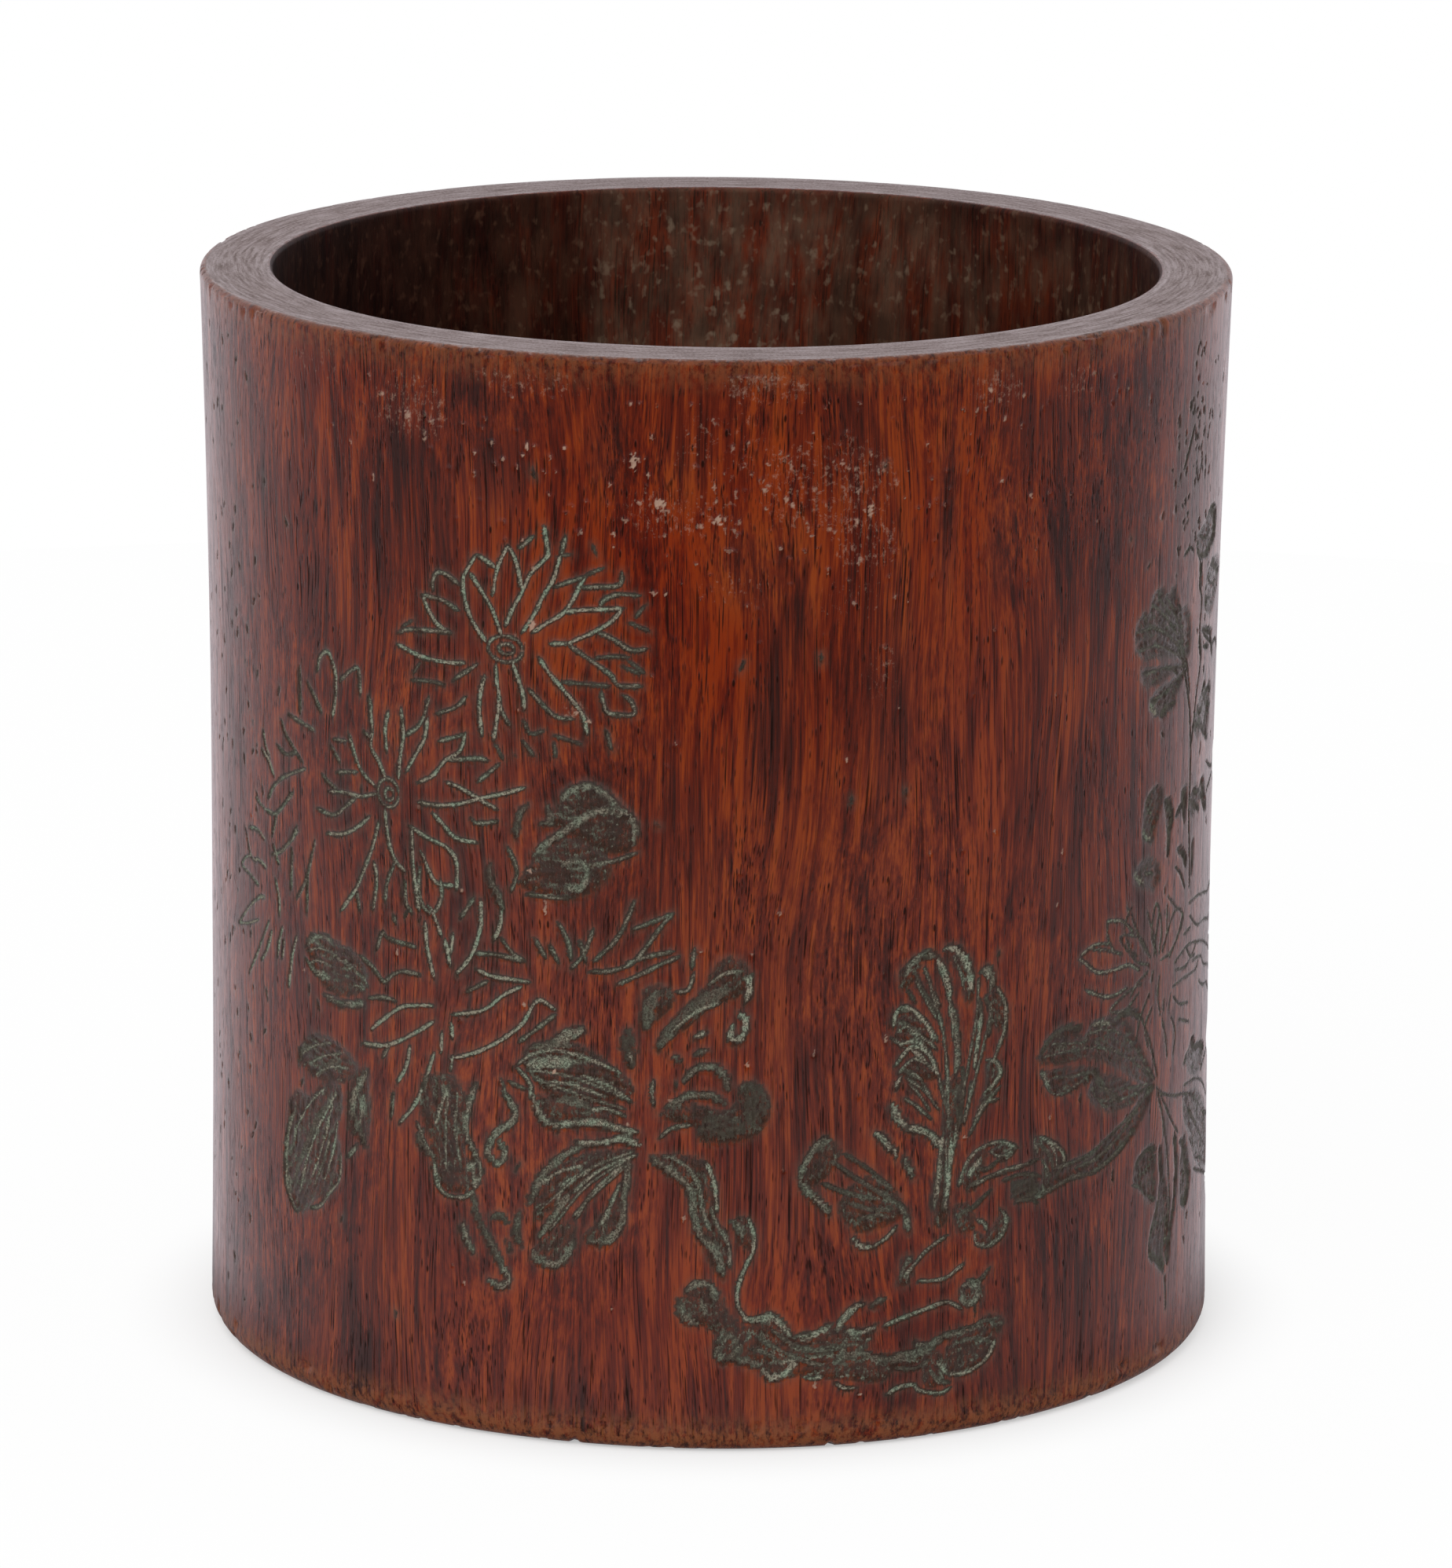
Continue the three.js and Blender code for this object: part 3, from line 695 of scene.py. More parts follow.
LEAVES_RIGHT = [
    ("hollow", 0.25, [
        (57.2, 60, 58.4, 63.2, 61.8, 65.2, 65, 64.4, 67.4, 62.6, 70.2, 64.6, 75, 64.6, 79, 62.8, 83.6,
         57.6, 88, 51,
         84, 51, 78, 54.6, 72.4, 57.4, 66, 59, 60.6, 59.2),
        (58, 58.6, 61, 58.4, 66, 57.8, 70.4, 56.6, 69.4, 54.8, 66.4, 54.2, 62.6, 53.8, 59.6, 55.2),
        (70.4, 55.6, 75, 54.6, 82, 51.4, 87.6, 50.2, 82, 48.6, 76, 48.2, 71.6, 49.8, 68.8, 52.6),
        (81.2, 35.4, 83.3, 38.4, 86.5, 39.4, 89, 37.6, 89.2, 31, 87, 30.2),
        (87.4, 21.2, 87.6, 25.4, 90, 29.6, 92.4, 33.6, 95, 26.6, 94.4, 19.6, 92, 17.2, 89.4, 19),
        (100.2, 26, 104.4, 26.6, 105.6, 30, 103.6, 35.6, 101.4, 38.2, 99.8, 33),
        (102, 51, 106.2, 53.4, 109, 51, 116, 49.4, 112, 46.8, 105, 47.4),
        (100.6, 44.6, 106, 44.8, 112.6, 42.4, 118.4, 39, 122.6, 33.4, 123.4, 27.4, 118, 27.6, 112.4, 29.4,
         108, 32.6,
         105.6, 36.8, 102, 40),
    ]),
    ("broad", 0.52, [
        (69.4, 64.2, 72, 63.8, 74.6, 63.4),
        (57.8, 58.4, 59, 57, 60, 55.4),
    ]),
    ("broad", 0.26, [
        (57.6, 61, 60, 63.6, 63.5, 64.6, 66.8, 64.2),
        (76, 64, 79.4, 64.4, 83.4, 62.6),
        (82.3, 36.7, 83.3, 38.2, 86.5, 39.3, 89.1, 38.8),
        (90.6, 38.8, 91.4, 33.5, 90.3, 28.3, 87.9, 24.2, 87.9, 21, 91.1, 19, 92.7, 16.9),
        (97, 39.4, 97.9, 33.5, 96.9, 27.3, 95.3, 23.1, 94.3, 17.9),
        (99.5, 37.7, 102.1, 36.1, 103.6, 32.5, 105.2, 29.9, 103.1, 26.2, 100.4, 26.8),
        (101, 50.2, 104.2, 51.8, 106.3, 53.3, 108.3, 51.3, 113, 50.6, 116.6, 49),
        (70, 56.6, 73.6, 52.4, 78, 49.6),
    ]),
    ("rib", 0.4, [
        (105.2, 36.7, 107.8, 33.5),
        (108.3, 30.4, 112.5, 28.9, 117.7, 27.3, 122.9, 25.2),
        (100, 45.5, 107.3, 43.4, 112.5, 40.8, 118, 37.6),
        (106, 40.4, 111, 37.4, 117, 33.4, 121, 31),
        (110, 31.6, 116, 30.2, 122.4, 27.6),
        (104, 42.2, 109, 38.8, 114, 34.4, 119, 30.6),
    ]),
    ("thin", 0.5, [
        (57.8, 58, 59.9, 54.9, 62.5, 53.9, 66.7, 54.9, 69.3, 55.6),
        (58.4, 60.6, 64, 60.6, 72, 59.8, 80, 56.4, 88.4, 50.8),
        (60, 62.6, 64, 62, 69, 61.4),
        (60, 57, 65, 56.4, 69.4, 56),
        (68, 62.8, 74, 62.4, 80.6, 59, 88.4, 51),
        (71, 63.6, 76.6, 62.8),
        (72, 52.8, 78, 51.6, 88, 50.4),
        (72.6, 50.6, 79, 49.8, 86, 50),
        (69.4, 54.2, 71.6, 51.2, 74.4, 49),
        (83.4, 62.6, 86, 58.6, 88, 54.4, 89.4, 51),
        (81.3, 34.6, 83.9, 33.5, 86.5, 31.5, 89.1, 30.4),
        (83.6, 35.6, 86.6, 36, 89.4, 38),
        (92.2, 43, 93, 39.6, 93.8, 36.7, 94.8, 30.4, 94.8, 26.3, 93.6, 21),
        (93.2, 16.4, 93.6, 13, 93.8, 10.1),
        (89, 49.4, 91.7, 47.6, 96.9, 46, 100, 45.5),
        (89.6, 48.4, 91.6, 44, 92.4, 40),
        (90.4, 48.2, 95, 42.6, 98.6, 39.2),
        (101.4, 46.6, 108, 46, 115, 43.6, 121.6, 39.4),
        (103.8, 34, 102.6, 30.6, 101.4, 28),
    ]),
]

FLOWER_RIGHT = [
    ("fine", 0.85, [
        (66.1, 75.8, 67.7, 74.8, 70.8, 72.7, 75.5, 72.2, 79.2, 72.2, 82.8, 70.6),
        (67.7, 70.3, 71.9, 68.5, 75, 67.9, 79, 68.4),
        (66.4, 76.2, 70, 77.4, 74, 76.8),
        (72.9, 80.8, 77.1, 80, 80.7, 77.4),
    ]),
    ("thin", 0.6, [
        (87.5, 71.7, 87.8, 74.3, 85.9, 77.9, 84.9, 80),
        (87.8, 74.3, 89.3, 79.5),
        (90.6, 71.7, 92.2, 74.8, 92.2, 79.5),
        (93.2, 70.1, 96.9, 73.2, 99, 76.4, 95.8, 78.4, 92.2, 81),
        (100, 72.7, 103.6, 73),
        (85.9, 72.2, 83.3, 74.8, 81.3, 77.9, 79.7, 81),
        (73, 80.6, 73.4, 77.9, 75, 75.3),
        (68.8, 76.9, 72.9, 76, 77.6, 74.3),
        (107.3, 69.6, 112.5, 68.5, 121.4, 65.4),
        (105.2, 67, 111.5, 66.2, 114.6, 64.1, 122.9, 61.8),
        (94.8, 64.9, 100, 65.2, 107.3, 64.9, 110, 66.2),
        (95.3, 63.3, 98.4, 61.3, 103, 60.4),
        (110, 62.4, 114, 60.6, 119, 59.8),
        (87.4, 69.6, 86.8, 67.6),
        (89.6, 68, 89.2, 64.6, 90.4, 61.2),
        (91.6, 64, 91.4, 61.4),
        (94.4, 64.2, 93.4, 61),
        (85.6, 69.8, 82, 68.4, 80, 66.6),
        (102.4, 77.4, 107, 77.4, 112, 76.8, 118, 75.6),
        (103, 75.2, 108, 72.4, 114, 71.8, 120, 70.4),
        (101, 70.4, 104, 68, 107, 67.6),
        (87.4, 63.6, 84.8, 60.6, 86, 56.6),
        (91, 60.4, 92.4, 57, 93.2, 53.4),
        (94.8, 60, 96.6, 56.6, 95.6, 53),
        (98, 58.8, 101, 57.8, 104, 56.8),
        (90, 70.6, 94.6, 71.4, 99.6, 75.6, 95.4, 77.6, 90.6, 72.4),
        (88.6, 71.6, 86.6, 76, 88, 80.6, 90.2, 76.4, 89.4, 71.8),
        (86, 70.8, 81.6, 72.4, 76.8, 77.2, 82.4, 76.2, 86.4, 71.8),
        (95.6, 68.8, 101.6, 70.2, 107.4, 69.4, 101.6, 67, 95.8, 67.6),
        (82.6, 66.8, 78.4, 64.8, 74.4, 65.6, 79, 67.6, 83.6, 68.2),
        (86.2, 66, 83.2, 62.4, 82, 58.4),
    ]),
]

BRANCH_RIGHT = [
    ("hollow", 0.25, [
        (80.2, 87.6, 81.2, 85.2, 84, 84.2, 86.6, 83.2, 89, 84.4, 88.5, 87.4, 84, 89.2),
        (82.6, 94.4, 83.9, 92.3, 86.4, 91.4, 87.4, 94, 89.6, 98.6, 87.5, 100.6, 84.9, 99.4, 83.2, 96.8),
        (89.8, 97.8, 92.4, 96.9, 93.2, 93.5, 92.2, 90.6, 91, 92.8),
        (96.6, 97.8, 99.6, 98, 99.8, 94, 98, 93.4),
        (101.2, 94, 103.6, 96.4, 107, 95.4, 109.6, 96.8, 111.6, 93.4, 109, 93.8, 105, 92.2, 102.4, 91.8),
        (102.4, 106.8, 104.4, 110.6, 108.6, 112.4, 112.8, 112, 113.6, 107, 111.4, 103.6, 107.4, 105.2,
         104.6, 104.8),
        (78.6, 124.6, 78.8, 128.4, 81, 130.6, 82.8, 130.2, 83.8, 132.8, 86.6, 133.8, 88.8, 132.2, 91, 133,
         93.2, 130.6,
         93.6, 128.2, 96, 129, 98.8, 126.4, 99.2, 122.8, 98.4, 119.6, 92, 121, 86.6, 122, 81.8, 122.6),
        (80.4, 121.6, 84, 121, 90.6, 120.2, 97.4, 118.8, 90, 118.4, 84.4, 117.4, 81.2, 118.8),
        (83.8, 115.8, 84.8, 113.4, 88, 112, 91.8, 113.4, 95.6, 116, 97.6, 118.2, 91.4, 117.4, 86.8, 117),
        (100.3, 139.6, 102.1, 136.1, 106.3, 135.1, 109.9, 136.1, 112.7, 137.4, 113.2, 141, 110.4, 143,
         106.3, 141.7),
        (107, 125.4, 107.4, 130.4, 111, 133.2, 117, 133, 121, 130, 117.4, 127, 112, 124.2),
    ]),
    ("broad", 0.59, [
        (82.8, 94.1, 83.9, 92.7, 85.9, 91.7),
        (80.4, 87.6, 81.8, 86, 84, 84.6),
        (84, 115.4, 85, 113.6, 87.5, 112.3),
    ]),
    ("broad", 0.22, [
        (95, 94, 98, 95, 99, 92),
        (96, 88, 99, 86.5, 100.5, 84),
        (104, 88, 103.5, 82),
    ]),
    ("thin", 0.5, [
        (78.5, 82, 79.5, 80.5),
        (80, 82, 78, 79, 79.5, 75, 82, 73),
    ]),
    ("broad", 0.3, [
        (83.3, 96.7, 84.9, 99.3, 87.5, 100.3),
        (90.1, 97.7, 92.2, 96.7, 93.2, 93.5, 92.2, 91.5, 91.9, 87.8),
        (97.9, 97.7, 99.5, 96.1, 99, 93.5),
        (101, 93.5, 103.6, 96.1, 106.8, 95.1, 109.4, 96.7, 111.5, 93.5, 113.5, 90.9),
        (100.7, 139.3, 102.3, 136.3, 106.3, 135.3, 109.9, 136.3, 112.5, 137.6, 112.9, 141, 109.9, 142.6,
         106.3, 141.5),
        (107.4, 126, 107.8, 130, 111, 132.6, 116, 132.4),
        (87.5, 111.9, 90.1, 112.9, 93.2, 113.4),
        (104.4, 110.4, 107, 108.6, 110.4, 110.6, 112.6, 111.6),
        (104, 106.4, 106.6, 106.8, 109.4, 105, 112.4, 107.4),
        (107, 110.8, 108.4, 113, 109.6, 111),
        (102.6, 109.6, 103.6, 107.8, 105, 106.2),
        (106.2, 108.2, 108, 106.2, 110, 105.2),
        (110.4, 109.6, 112.4, 109, 114.6, 108.2),
        (110, 104.8, 111.4, 103.6, 112.8, 103.2),
        (112.2, 112.8, 113.6, 111.6, 114.4, 110.4),
        (107.6, 130.8, 108.2, 128, 109.6, 125.2),
        (110.8, 133.4, 115, 131.8, 120.6, 129.6),
        (105.4, 123, 109, 122, 113.6, 120.8),
        (111.6, 121.6, 113.4, 119, 115, 116.6),
        (107.2, 119.6, 110.6, 119),
        (109.6, 142.8, 111, 141.4, 112.4, 139.6),
        (101.6, 95.4, 104, 94, 107.4, 92.2),
        (108.4, 95, 110.4, 93, 112.4, 90.8),
        (102.8, 135, 103.6, 132.8, 104.4, 130.4),
        (104, 122, 104.8, 120, 105.6, 118),
    ]),
    ("fine", 0.4, [
        (102.6, 80, 102.1, 85.7, 101.3, 92, 101.3, 98.8, 101, 104, 100, 110.2, 99.2, 112.3, 96.9, 117.5,
         94.3, 122.2,
         91.1, 124.3),
        (95.3, 85.2, 97.8, 83.4, 100, 80.5),
        (79.4, 127.4, 84.6, 127.2, 91.1, 124.6, 96.4, 120.6, 98.6, 116.6, 99.5, 113.4),
        (83.4, 131.6, 88, 129, 93.4, 124.6, 97, 120.2),
        (88.6, 132.2, 92, 128.8, 95.2, 124.4, 97.6, 120),
        (93.4, 129.4, 95.4, 126.2, 97, 121.8),
        (80.2, 124.2, 86.4, 124, 92.4, 121.8, 97.4, 118.8),
        (81.4, 120.2, 88.4, 119.8, 97.4, 118.4),
        (84.6, 115.2, 90, 115.6, 97.8, 117.8),
        (104.2, 134.8, 103.1, 131.1, 104.7, 128, 104.2, 123.3, 105.2, 117.6, 103.4, 112.6, 101.4, 104.6),
        (94.8, 137.4, 97.4, 138.2, 99, 137.4),
        (97.1, 158.7, 95.2, 155.2, 93.2, 152),
        (81, 130, 83, 128.6),
        (86, 132.4, 88, 130.4),
        (84.4, 97.6, 86, 95.2, 86.2, 92.4),
        (103.4, 139, 106.6, 138, 109.4, 139.4),
        (109, 131, 113.4, 129, 118.4, 128.6),
        (108.6, 127.8, 112.4, 126.6),
        (94, 117.8, 91, 119.4, 87.4, 119.8),
        (106.6, 122, 110, 120.4, 114.4, 118.6),
        (112, 99.4, 116, 97.6, 119.6, 96.8),
        (84, 86.4, 87, 86.2),
    ]),
]

# Past the right edge of the view the spray ends in a few leaves and twigs
SPRAY_END = [
    ("hollow", 0.25, [
        (122, 24.6, 126.6, 26.8, 131.4, 24.4, 132.8, 20.6, 128, 20, 124.2, 21.8),
        (121, 49.2, 125, 52.2, 130.6, 51, 133.4, 47, 128.4, 45, 123.6, 46.2),
        (119.6, 97, 124, 99.6, 129.4, 98.2, 131, 94.4, 126, 92.6, 121.6, 94),
    ]),
    ("broad", 0.37, [
        (122, 24.6, 126.6, 26.6, 131.2, 24.2, 132.4, 20.8),
        (121, 49.2, 125, 51.8, 130.4, 50.6, 133, 47.2),
        (119.6, 97, 124, 99.2, 129.2, 97.8, 130.6, 94.6),
        (121.6, 66.2, 126.4, 66.8, 131, 64.2),
    ]),
    ("line", 0.45, [
        (122, 24.8, 127, 23.2, 132.4, 20.8),
        (113, 46.4, 121, 48, 127, 48.4, 133, 47.2),
        (113.4, 94, 119.6, 95.4, 125, 96.4, 130.6, 94.6),
        (121.4, 65.4, 125.6, 63.2, 129.8, 62.8),
        (122.9, 61.8, 127, 59.4, 130.6, 59.8),
        (118, 75.6, 123.4, 75.8, 127.6, 73.6, 122.6, 72.2),
        (120, 70.4, 125.6, 70.6, 130, 68.4),
        (119, 59.8, 124.6, 57, 128, 57.2),
        (118, 37.6, 124, 35.8, 129.4, 36.2, 133.6, 34),
        (121.6, 39.4, 126.4, 40.6, 131, 39.6),
        (114.4, 118.6, 119, 118.4, 123.4, 116),
        (121, 130, 125.4, 130.6, 128.6, 128.4),
    ]),
]

CARVING = [
    FLOWER_UPPER, FLOWER_MIDDLE, PETALS_FAR_LEFT, FLOWER_LOWER, LEAF_TOP, LEAVES_LEFT, LEAF_DROOPING,
    LEAF_CROSSING, LEAVES_CENTRE, STEM_LEFT, ROCK, SPRAY_CENTRE, STEM_RIGHT, LEAVES_RIGHT, FLOWER_RIGHT,
    BRANCH_RIGHT, SPRAY_END,
]

# The flowers' middles are rings: s, z, half their width, half their height
RINGS = [(-33.5, 130.5, 3.0, 2.1), (-33.3, 130.5, 1.4, 0.8), (-55.7, 104.2, 2.2, 2.3), (-55.5, 104, 0.9, 1)]
RING_POINTS = 13
RING_PALE = 0.6

# Old damage, most of it at the upper front, where its pale bare wood is also a painted highlight: s, z,
# half its width, half its height, how bare the wood is
CHIPS = [
    (-12.6, 162, 0.55, 1.6, 0.9), (-8.6, 155.4, 1.0, 0.8, 0.9), (-7.6, 154.3, 0.7, 0.5, 0.7),
    (0.6, 152.8, 0.7, 0.9, 1), (-14, 152.6, 0.9, 0.4, 0.55), (24.6, 154, 0.4, 1.2, 0.8),
    (11, 162.4, 1.0, 0.6, 0.45), (11.2, 156.2, 0.5, 0.6, 0.7), (20.4, 152.4, 1.0, 0.6, 0.45),
    (8.4, 158.6, 0.6, 0.4, 0.5), (26.6, 161, 0.6, 1.0, 0.45), (-28.9, 134.7, 0.8, 1.1, 0.8),
    (-21.6, 121.2, 0.5, 0.4, 0.9), (-19.8, 119.8, 0.7, 0.35, 0.9), (-26.8, 88.8, 0.35, 1.3, 0.7),
    (-25.2, 62.1, 0.5, 0.5, 0.8), (-9.4, 141, 0.7, 0.5, 0.6), (42.8, 49.8, 0.5, 0.4, 0.9),
    (60, 50.4, 0.35, 0.5, 0.6), (10.8, 89.2, 0.5, 0.5, 0.6), (-54, 78, 0.3, 0.8, 0.7),
    (24.6, 9, 0.3, 0.3, 0.9), (-4, 39, 0.4, 0.7, 0.6), (27.4, 131.6, 0.5, 0.7, 0.5),
    (2.4, 148, 1.2, 0.4, 0.4), (-50.8, 166.4, 0.6, 1.2, 0.7), (-47.6, 163.6, 0.4, 1.0, 0.6),
    (-29.6, 163.2, 0.4, 0.8, 0.7), (22.6, 157.2, 0.5, 0.5, 0.6), (80.6, 165.6, 0.3, 0.9, 0.5),
    (5.2, 175.6, 3.4, 0.5, 0.4),
]

# Scuffs are wider and only fleck the surface, and at the upper front their pale flecks are a painted
# highlight and haze: s, z, half width, half height, how thick the flecks lie
SCUFFS_AND_HIGHLIGHTS = [
    (18, 158, 13, 10, 0.27), (2, 165, 10, 8, 0.20), (8, 174, 10, 3, 0.28), (-6, 154, 12, 5, 0.25),
    (24, 149, 7, 6, 0.26), (-22, 121.5, 3, 2, 0.30), (27, 128, 4, 6, 0.24), (-50, 168, 9, 7, 0.27),
    (-30, 174, 12, 3, 0.25), (4, 142, 8, 4, 0.2), (22, 140, 8, 4, 0.2), (46, 172, 6, 4, 0.27),
    (62, 171, 5, 4, 0.25), (-33, 130.5, 5, 4, 0.22), (-70, 172, 8, 4, 0.2),
]

# Flecks lie scattered about some places: s, z, how far they spread each way, and how many there are. Near
# the upper front their pale is a painted glint.
# Half the width and height of each, and how bare it leaves the wood, lie between two limits.
FLECKS_AND_GLINTS = [
    (8, 158, 17, 9, 90), (12, 150, 26, 14, 70), (-44, 166, 18, 7, 40), (40, 168, 30, 6, 40),
    (0, 60, 60, 34, 50),
]
FLECK_HALF_WIDTH = (0.2, 0.42)
FLECK_HALF_HEIGHT = (0.2, 0.7)
FLECK_BARE = (0.3, 0.75)

# Small dark nicks along the grain, scattered in the same way. Each reaches so far aside and up.
NICKS = [
    (97, 155, 3.5, 9, 60), (105, 160, 6, 11, 18), (108, 150, 8, 24, 24), (-103, 66, 8, 36, 64),
    (-99, 130, 9, 28, 48), (96, 60, 14, 40, 20), (-20, 80, 60, 50, 40), (180, 90, 40, 50, 60),
    (-180, 90, 40, 50, 60),
]
NICK_ASIDE = (-0.3, 0.4)
NICK_UP = (0.2, 0.9)

# Broad patches of the surface: s, z, half width, half height, and how much warmer or darker they are. Most
# are the wood's own tone; the warm glow at the upper front is partly painted light from above the front,
# and the lift low down near the foot is painted light from the floor
TONE_AND_LIGHT_PATCHES = [
    (-8, 152, 34, 26, 0.60), (6, 124, 16, 24, 0.45), (38, 150, 10, 24, 0.30), (-2, 58, 22, 24, 0.22),
    (-66, 168, 14, 10, 0.25), (16, 60, 6, 26, -0.30), (2, 84, 3, 22, -0.2), (9, 118, 4, 16, -0.75),
    (13, 140, 4, 12, -0.7), (-56, 152, 6, 14, -0.6), (-47, 158, 4, 12, -0.5), (66, 22, 12, 12, -0.55),
    (57, 60, 6, 70, -0.2), (74, 110, 9, 60, -0.2), (-60, 8, 8, 9, -0.45), (45, 12, 8, 6, -0.3),
    (-44, 92, 14, 20, -0.15), (34, 12, 60, 6, 0.12), (-30, 18, 20, 14, 0.15), (27, 90, 3, 50, -0.2),
    (37.3, 153, 1.7, 14, -0.9), (59.5, 145, 2.6, 18, -0.7), (47.5, 147, 2.4, 7, -0.8),
    (70, 140, 4, 9, -0.55), (30, 130, 2, 20, -0.6), (22, 166, 4, 9, -0.4), (-52, 160, 3, 5, -0.8),
    (-17, 163, 3, 8, -0.6), (-38, 170, 6, 4, -0.4), (48, 100, 24, 80, 0.25), (52, 168, 8, 8, -0.3),
    (78, 166, 9, 8, -0.5), (92, 150, 5, 24, -0.35), (12, 24, 50, 12, 0.3), (-46, 128, 4, 20, -0.35),
    (-72, 128, 4, 34, -0.4), (-84, 152, 6, 20, -0.3), (-96, 120, 5, 40, -0.12), (-24, 8, 4, 6, -0.4),
    (64, 84, 4, 20, -0.35), (90, 110, 4, 24, -0.3), (-64, 34, 4, 20, -0.3), (-35, 160, 5, 8, -0.8),
    (5, 145, 6, 8, -0.9), (-5, 160, 5, 7, -0.5), (150, 90, 30, 60, 0.2), (200, 60, 24, 50, -0.3),
    (-150, 110, 30, 50, 0.25), (-210, 90, 20, 70, -0.25),
]

# Inside, painted light and shade: the wood is palest and greyest in the middle of the back, where light
# falls, and darkest at the left, in shade
INSIDE_LIGHT_AND_SHADE_PATCHES = [
    (262, 120, 40, 90, 0.95), (-262, 120, 40, 90, 0.95), (-178, 120, 44, 90, -1.0),
    (-128, 120, 30, 90, -0.7), (236, 150, 5, 30, -0.4), (-232, 150, 5, 30, -0.45), (206, 130, 6, 40, 0.35),
    (222, 168, 26, 8, 0.3), (-215, 140, 10, 24, 0.35), (176, 168, 26, 8, 0.3),
]


def outer_radius(height):
    """Radius of the wall's outside at a height: two parabolas that meet at the waist."""
    below = height < WAIST_HEIGHT
    end_radius = np.where(below, FOOT_RADIUS, RIM_RADIUS)
    span = np.where(below, WAIST_HEIGHT, HEIGHT - WAIST_HEIGHT)
    return WAIST_RADIUS + (end_radius - WAIST_RADIUS) * ((height - WAIST_HEIGHT) / span) ** 2


def straight(start, end, steps, outward):
    """Lattice rows along a straight stretch of the section: radius, height and the outward direction."""
    share = np.arange(steps) / steps
    points = np.outer(1 - share, start) + np.outer(share, end)
    return np.hstack([points, np.tile(outward, (steps, 1))])


def rounded(centre, width, rise, start, steps):
    """Lattice rows along a quarter of an ellipse, turning from the start angle."""
    angle = start + np.arange(steps) / steps * math.pi / 2
    turn = np.stack([np.cos(angle), np.sin(angle)], axis=1)
    outward = turn * (rise, width)
    outward /= np.linalg.norm(outward, axis=1, keepdims=True)
    return np.hstack([np.array(centre) + turn * (width, rise), outward])


def body_rows(steps):
    """Lattice rows up the outside, between the two rounded edges."""
    height = FOOT_EDGE_RISE + np.arange(steps) / steps * (HEIGHT - RIM_OUTER_ROUNDING - FOOT_EDGE_RISE)
    flat = np.zeros(steps)
    return np.stack([outer_radius(height), height, flat + 1, flat], axis=1)


def wall_section():
    """The closed section of the wall as lattice rows, and the first row of each of its stretches."""
    foot_edge = float(outer_radius(FOOT_EDGE_RISE)) - FOOT_EDGE_WIDTH
    body_top = HEIGHT - RIM_OUTER_ROUNDING
    rim_edge = float(outer_radius(body_top)) - RIM_OUTER_ROUNDING
    inner_edge = BORE_RADIUS + RIM_INNER_ROUNDING
    bore_top = HEIGHT - RIM_INNER_ROUNDING
    body_steps = BLOCK * round((body_top - FOOT_EDGE_RISE) / STEP / BLOCK)
    stretches = {
        "foot": straight((REBATE_RADIUS, 0), (foot_edge, 0), BLOCK, (0, -1)),
        "foot_edge": rounded((foot_edge, FOOT_EDGE_RISE), FOOT_EDGE_WIDTH, FOOT_EDGE_RISE,
                             -math.pi / 2, BLOCK),
        "body": body_rows(body_steps),
        "rim_outer": rounded((rim_edge, body_top), RIM_OUTER_ROUNDING, RIM_OUTER_ROUNDING, 0, BLOCK),
        "rim_top": straight((rim_edge, HEIGHT), (inner_edge, HEIGHT), RIM_BLOCKS * BLOCK, (0, 1)),
        "rim_inner": rounded((inner_edge, bore_top), RIM_INNER_ROUNDING, RIM_INNER_ROUNDING,
                             math.pi / 2, BLOCK),
        "bore": straight((BORE_RADIUS, bore_top), (BORE_RADIUS, BOARD_TOP), BORE_BLOCKS * BLOCK, (-1, 0)),
        "shoulder": straight((BORE_RADIUS, BOARD_TOP), (REBATE_RADIUS, BOARD_TOP), BLOCK, (0, -1)),
        "rebate": straight((REBATE_RADIUS, BOARD_TOP), (REBATE_RADIUS, 0), BLOCK, (-1, 0)),
    }
    first, start = {}, 0
    for name, rows in stretches.items():
        first[name] = start
        start += len(rows)
    return np.vstack(list(stretches.values())), first


def smooth_curve(points, spacing):
    """A Catmull-Rom curve through points, sampled about every spacing."""
    points = np.asarray(points, float)
    ends = np.vstack([2 * points[0] - points[1], points, 2 * points[-1] - points[-2]])
    samples = []
    for index in range(len(points) - 1):
        a, b, c, d = ends[index:index + 4]
        count = max(2, int(np.linalg.norm(c - b) / spacing) + 1)
        t = (np.arange(count) / count)[:, None]
        samples.append(0.5 * (2 * b + (c - a) * t + (2 * a - 5 * b + 4 * c - d) * t ** 2
                              + (3 * b - a - 3 * c + d) * t ** 3))
    samples.append(points[-1:])
    return np.vstack(samples)


def random_cloud(rng, rows, columns, cell):
    """Smooth noise from -1 to 1 over the lattice, with features about a cell wide, closed round the pot."""
    coarse_rows = max(2, int(rows / cell[0]) + 3)
    coarse_columns = max(4, round(columns / cell[1]))
    grid = rng.uniform(-1, 1, (coarse_rows, coarse_columns))
    row = np.arange(rows) / rows * (coarse_rows - 1.001)
    column = np.arange(columns) / columns * coarse_columns
    row0, column0 = row.astype(int), column.astype(int)
    row_share = row - row0
    column_share = column - column0
    row_share = (row_share ** 2 * (3 - 2 * row_share))[:, None]
    column_share = (column_share ** 2 * (3 - 2 * column_share))[None, :]
    column1 = (column0 + 1) % coarse_columns
    low = grid[row0][:, column0] * (1 - column_share) + grid[row0][:, column1] * column_share
    high = grid[row0 + 1][:, column0] * (1 - column_share) + grid[row0 + 1][:, column1] * column_share
    return low * (1 - row_share) + high * row_share


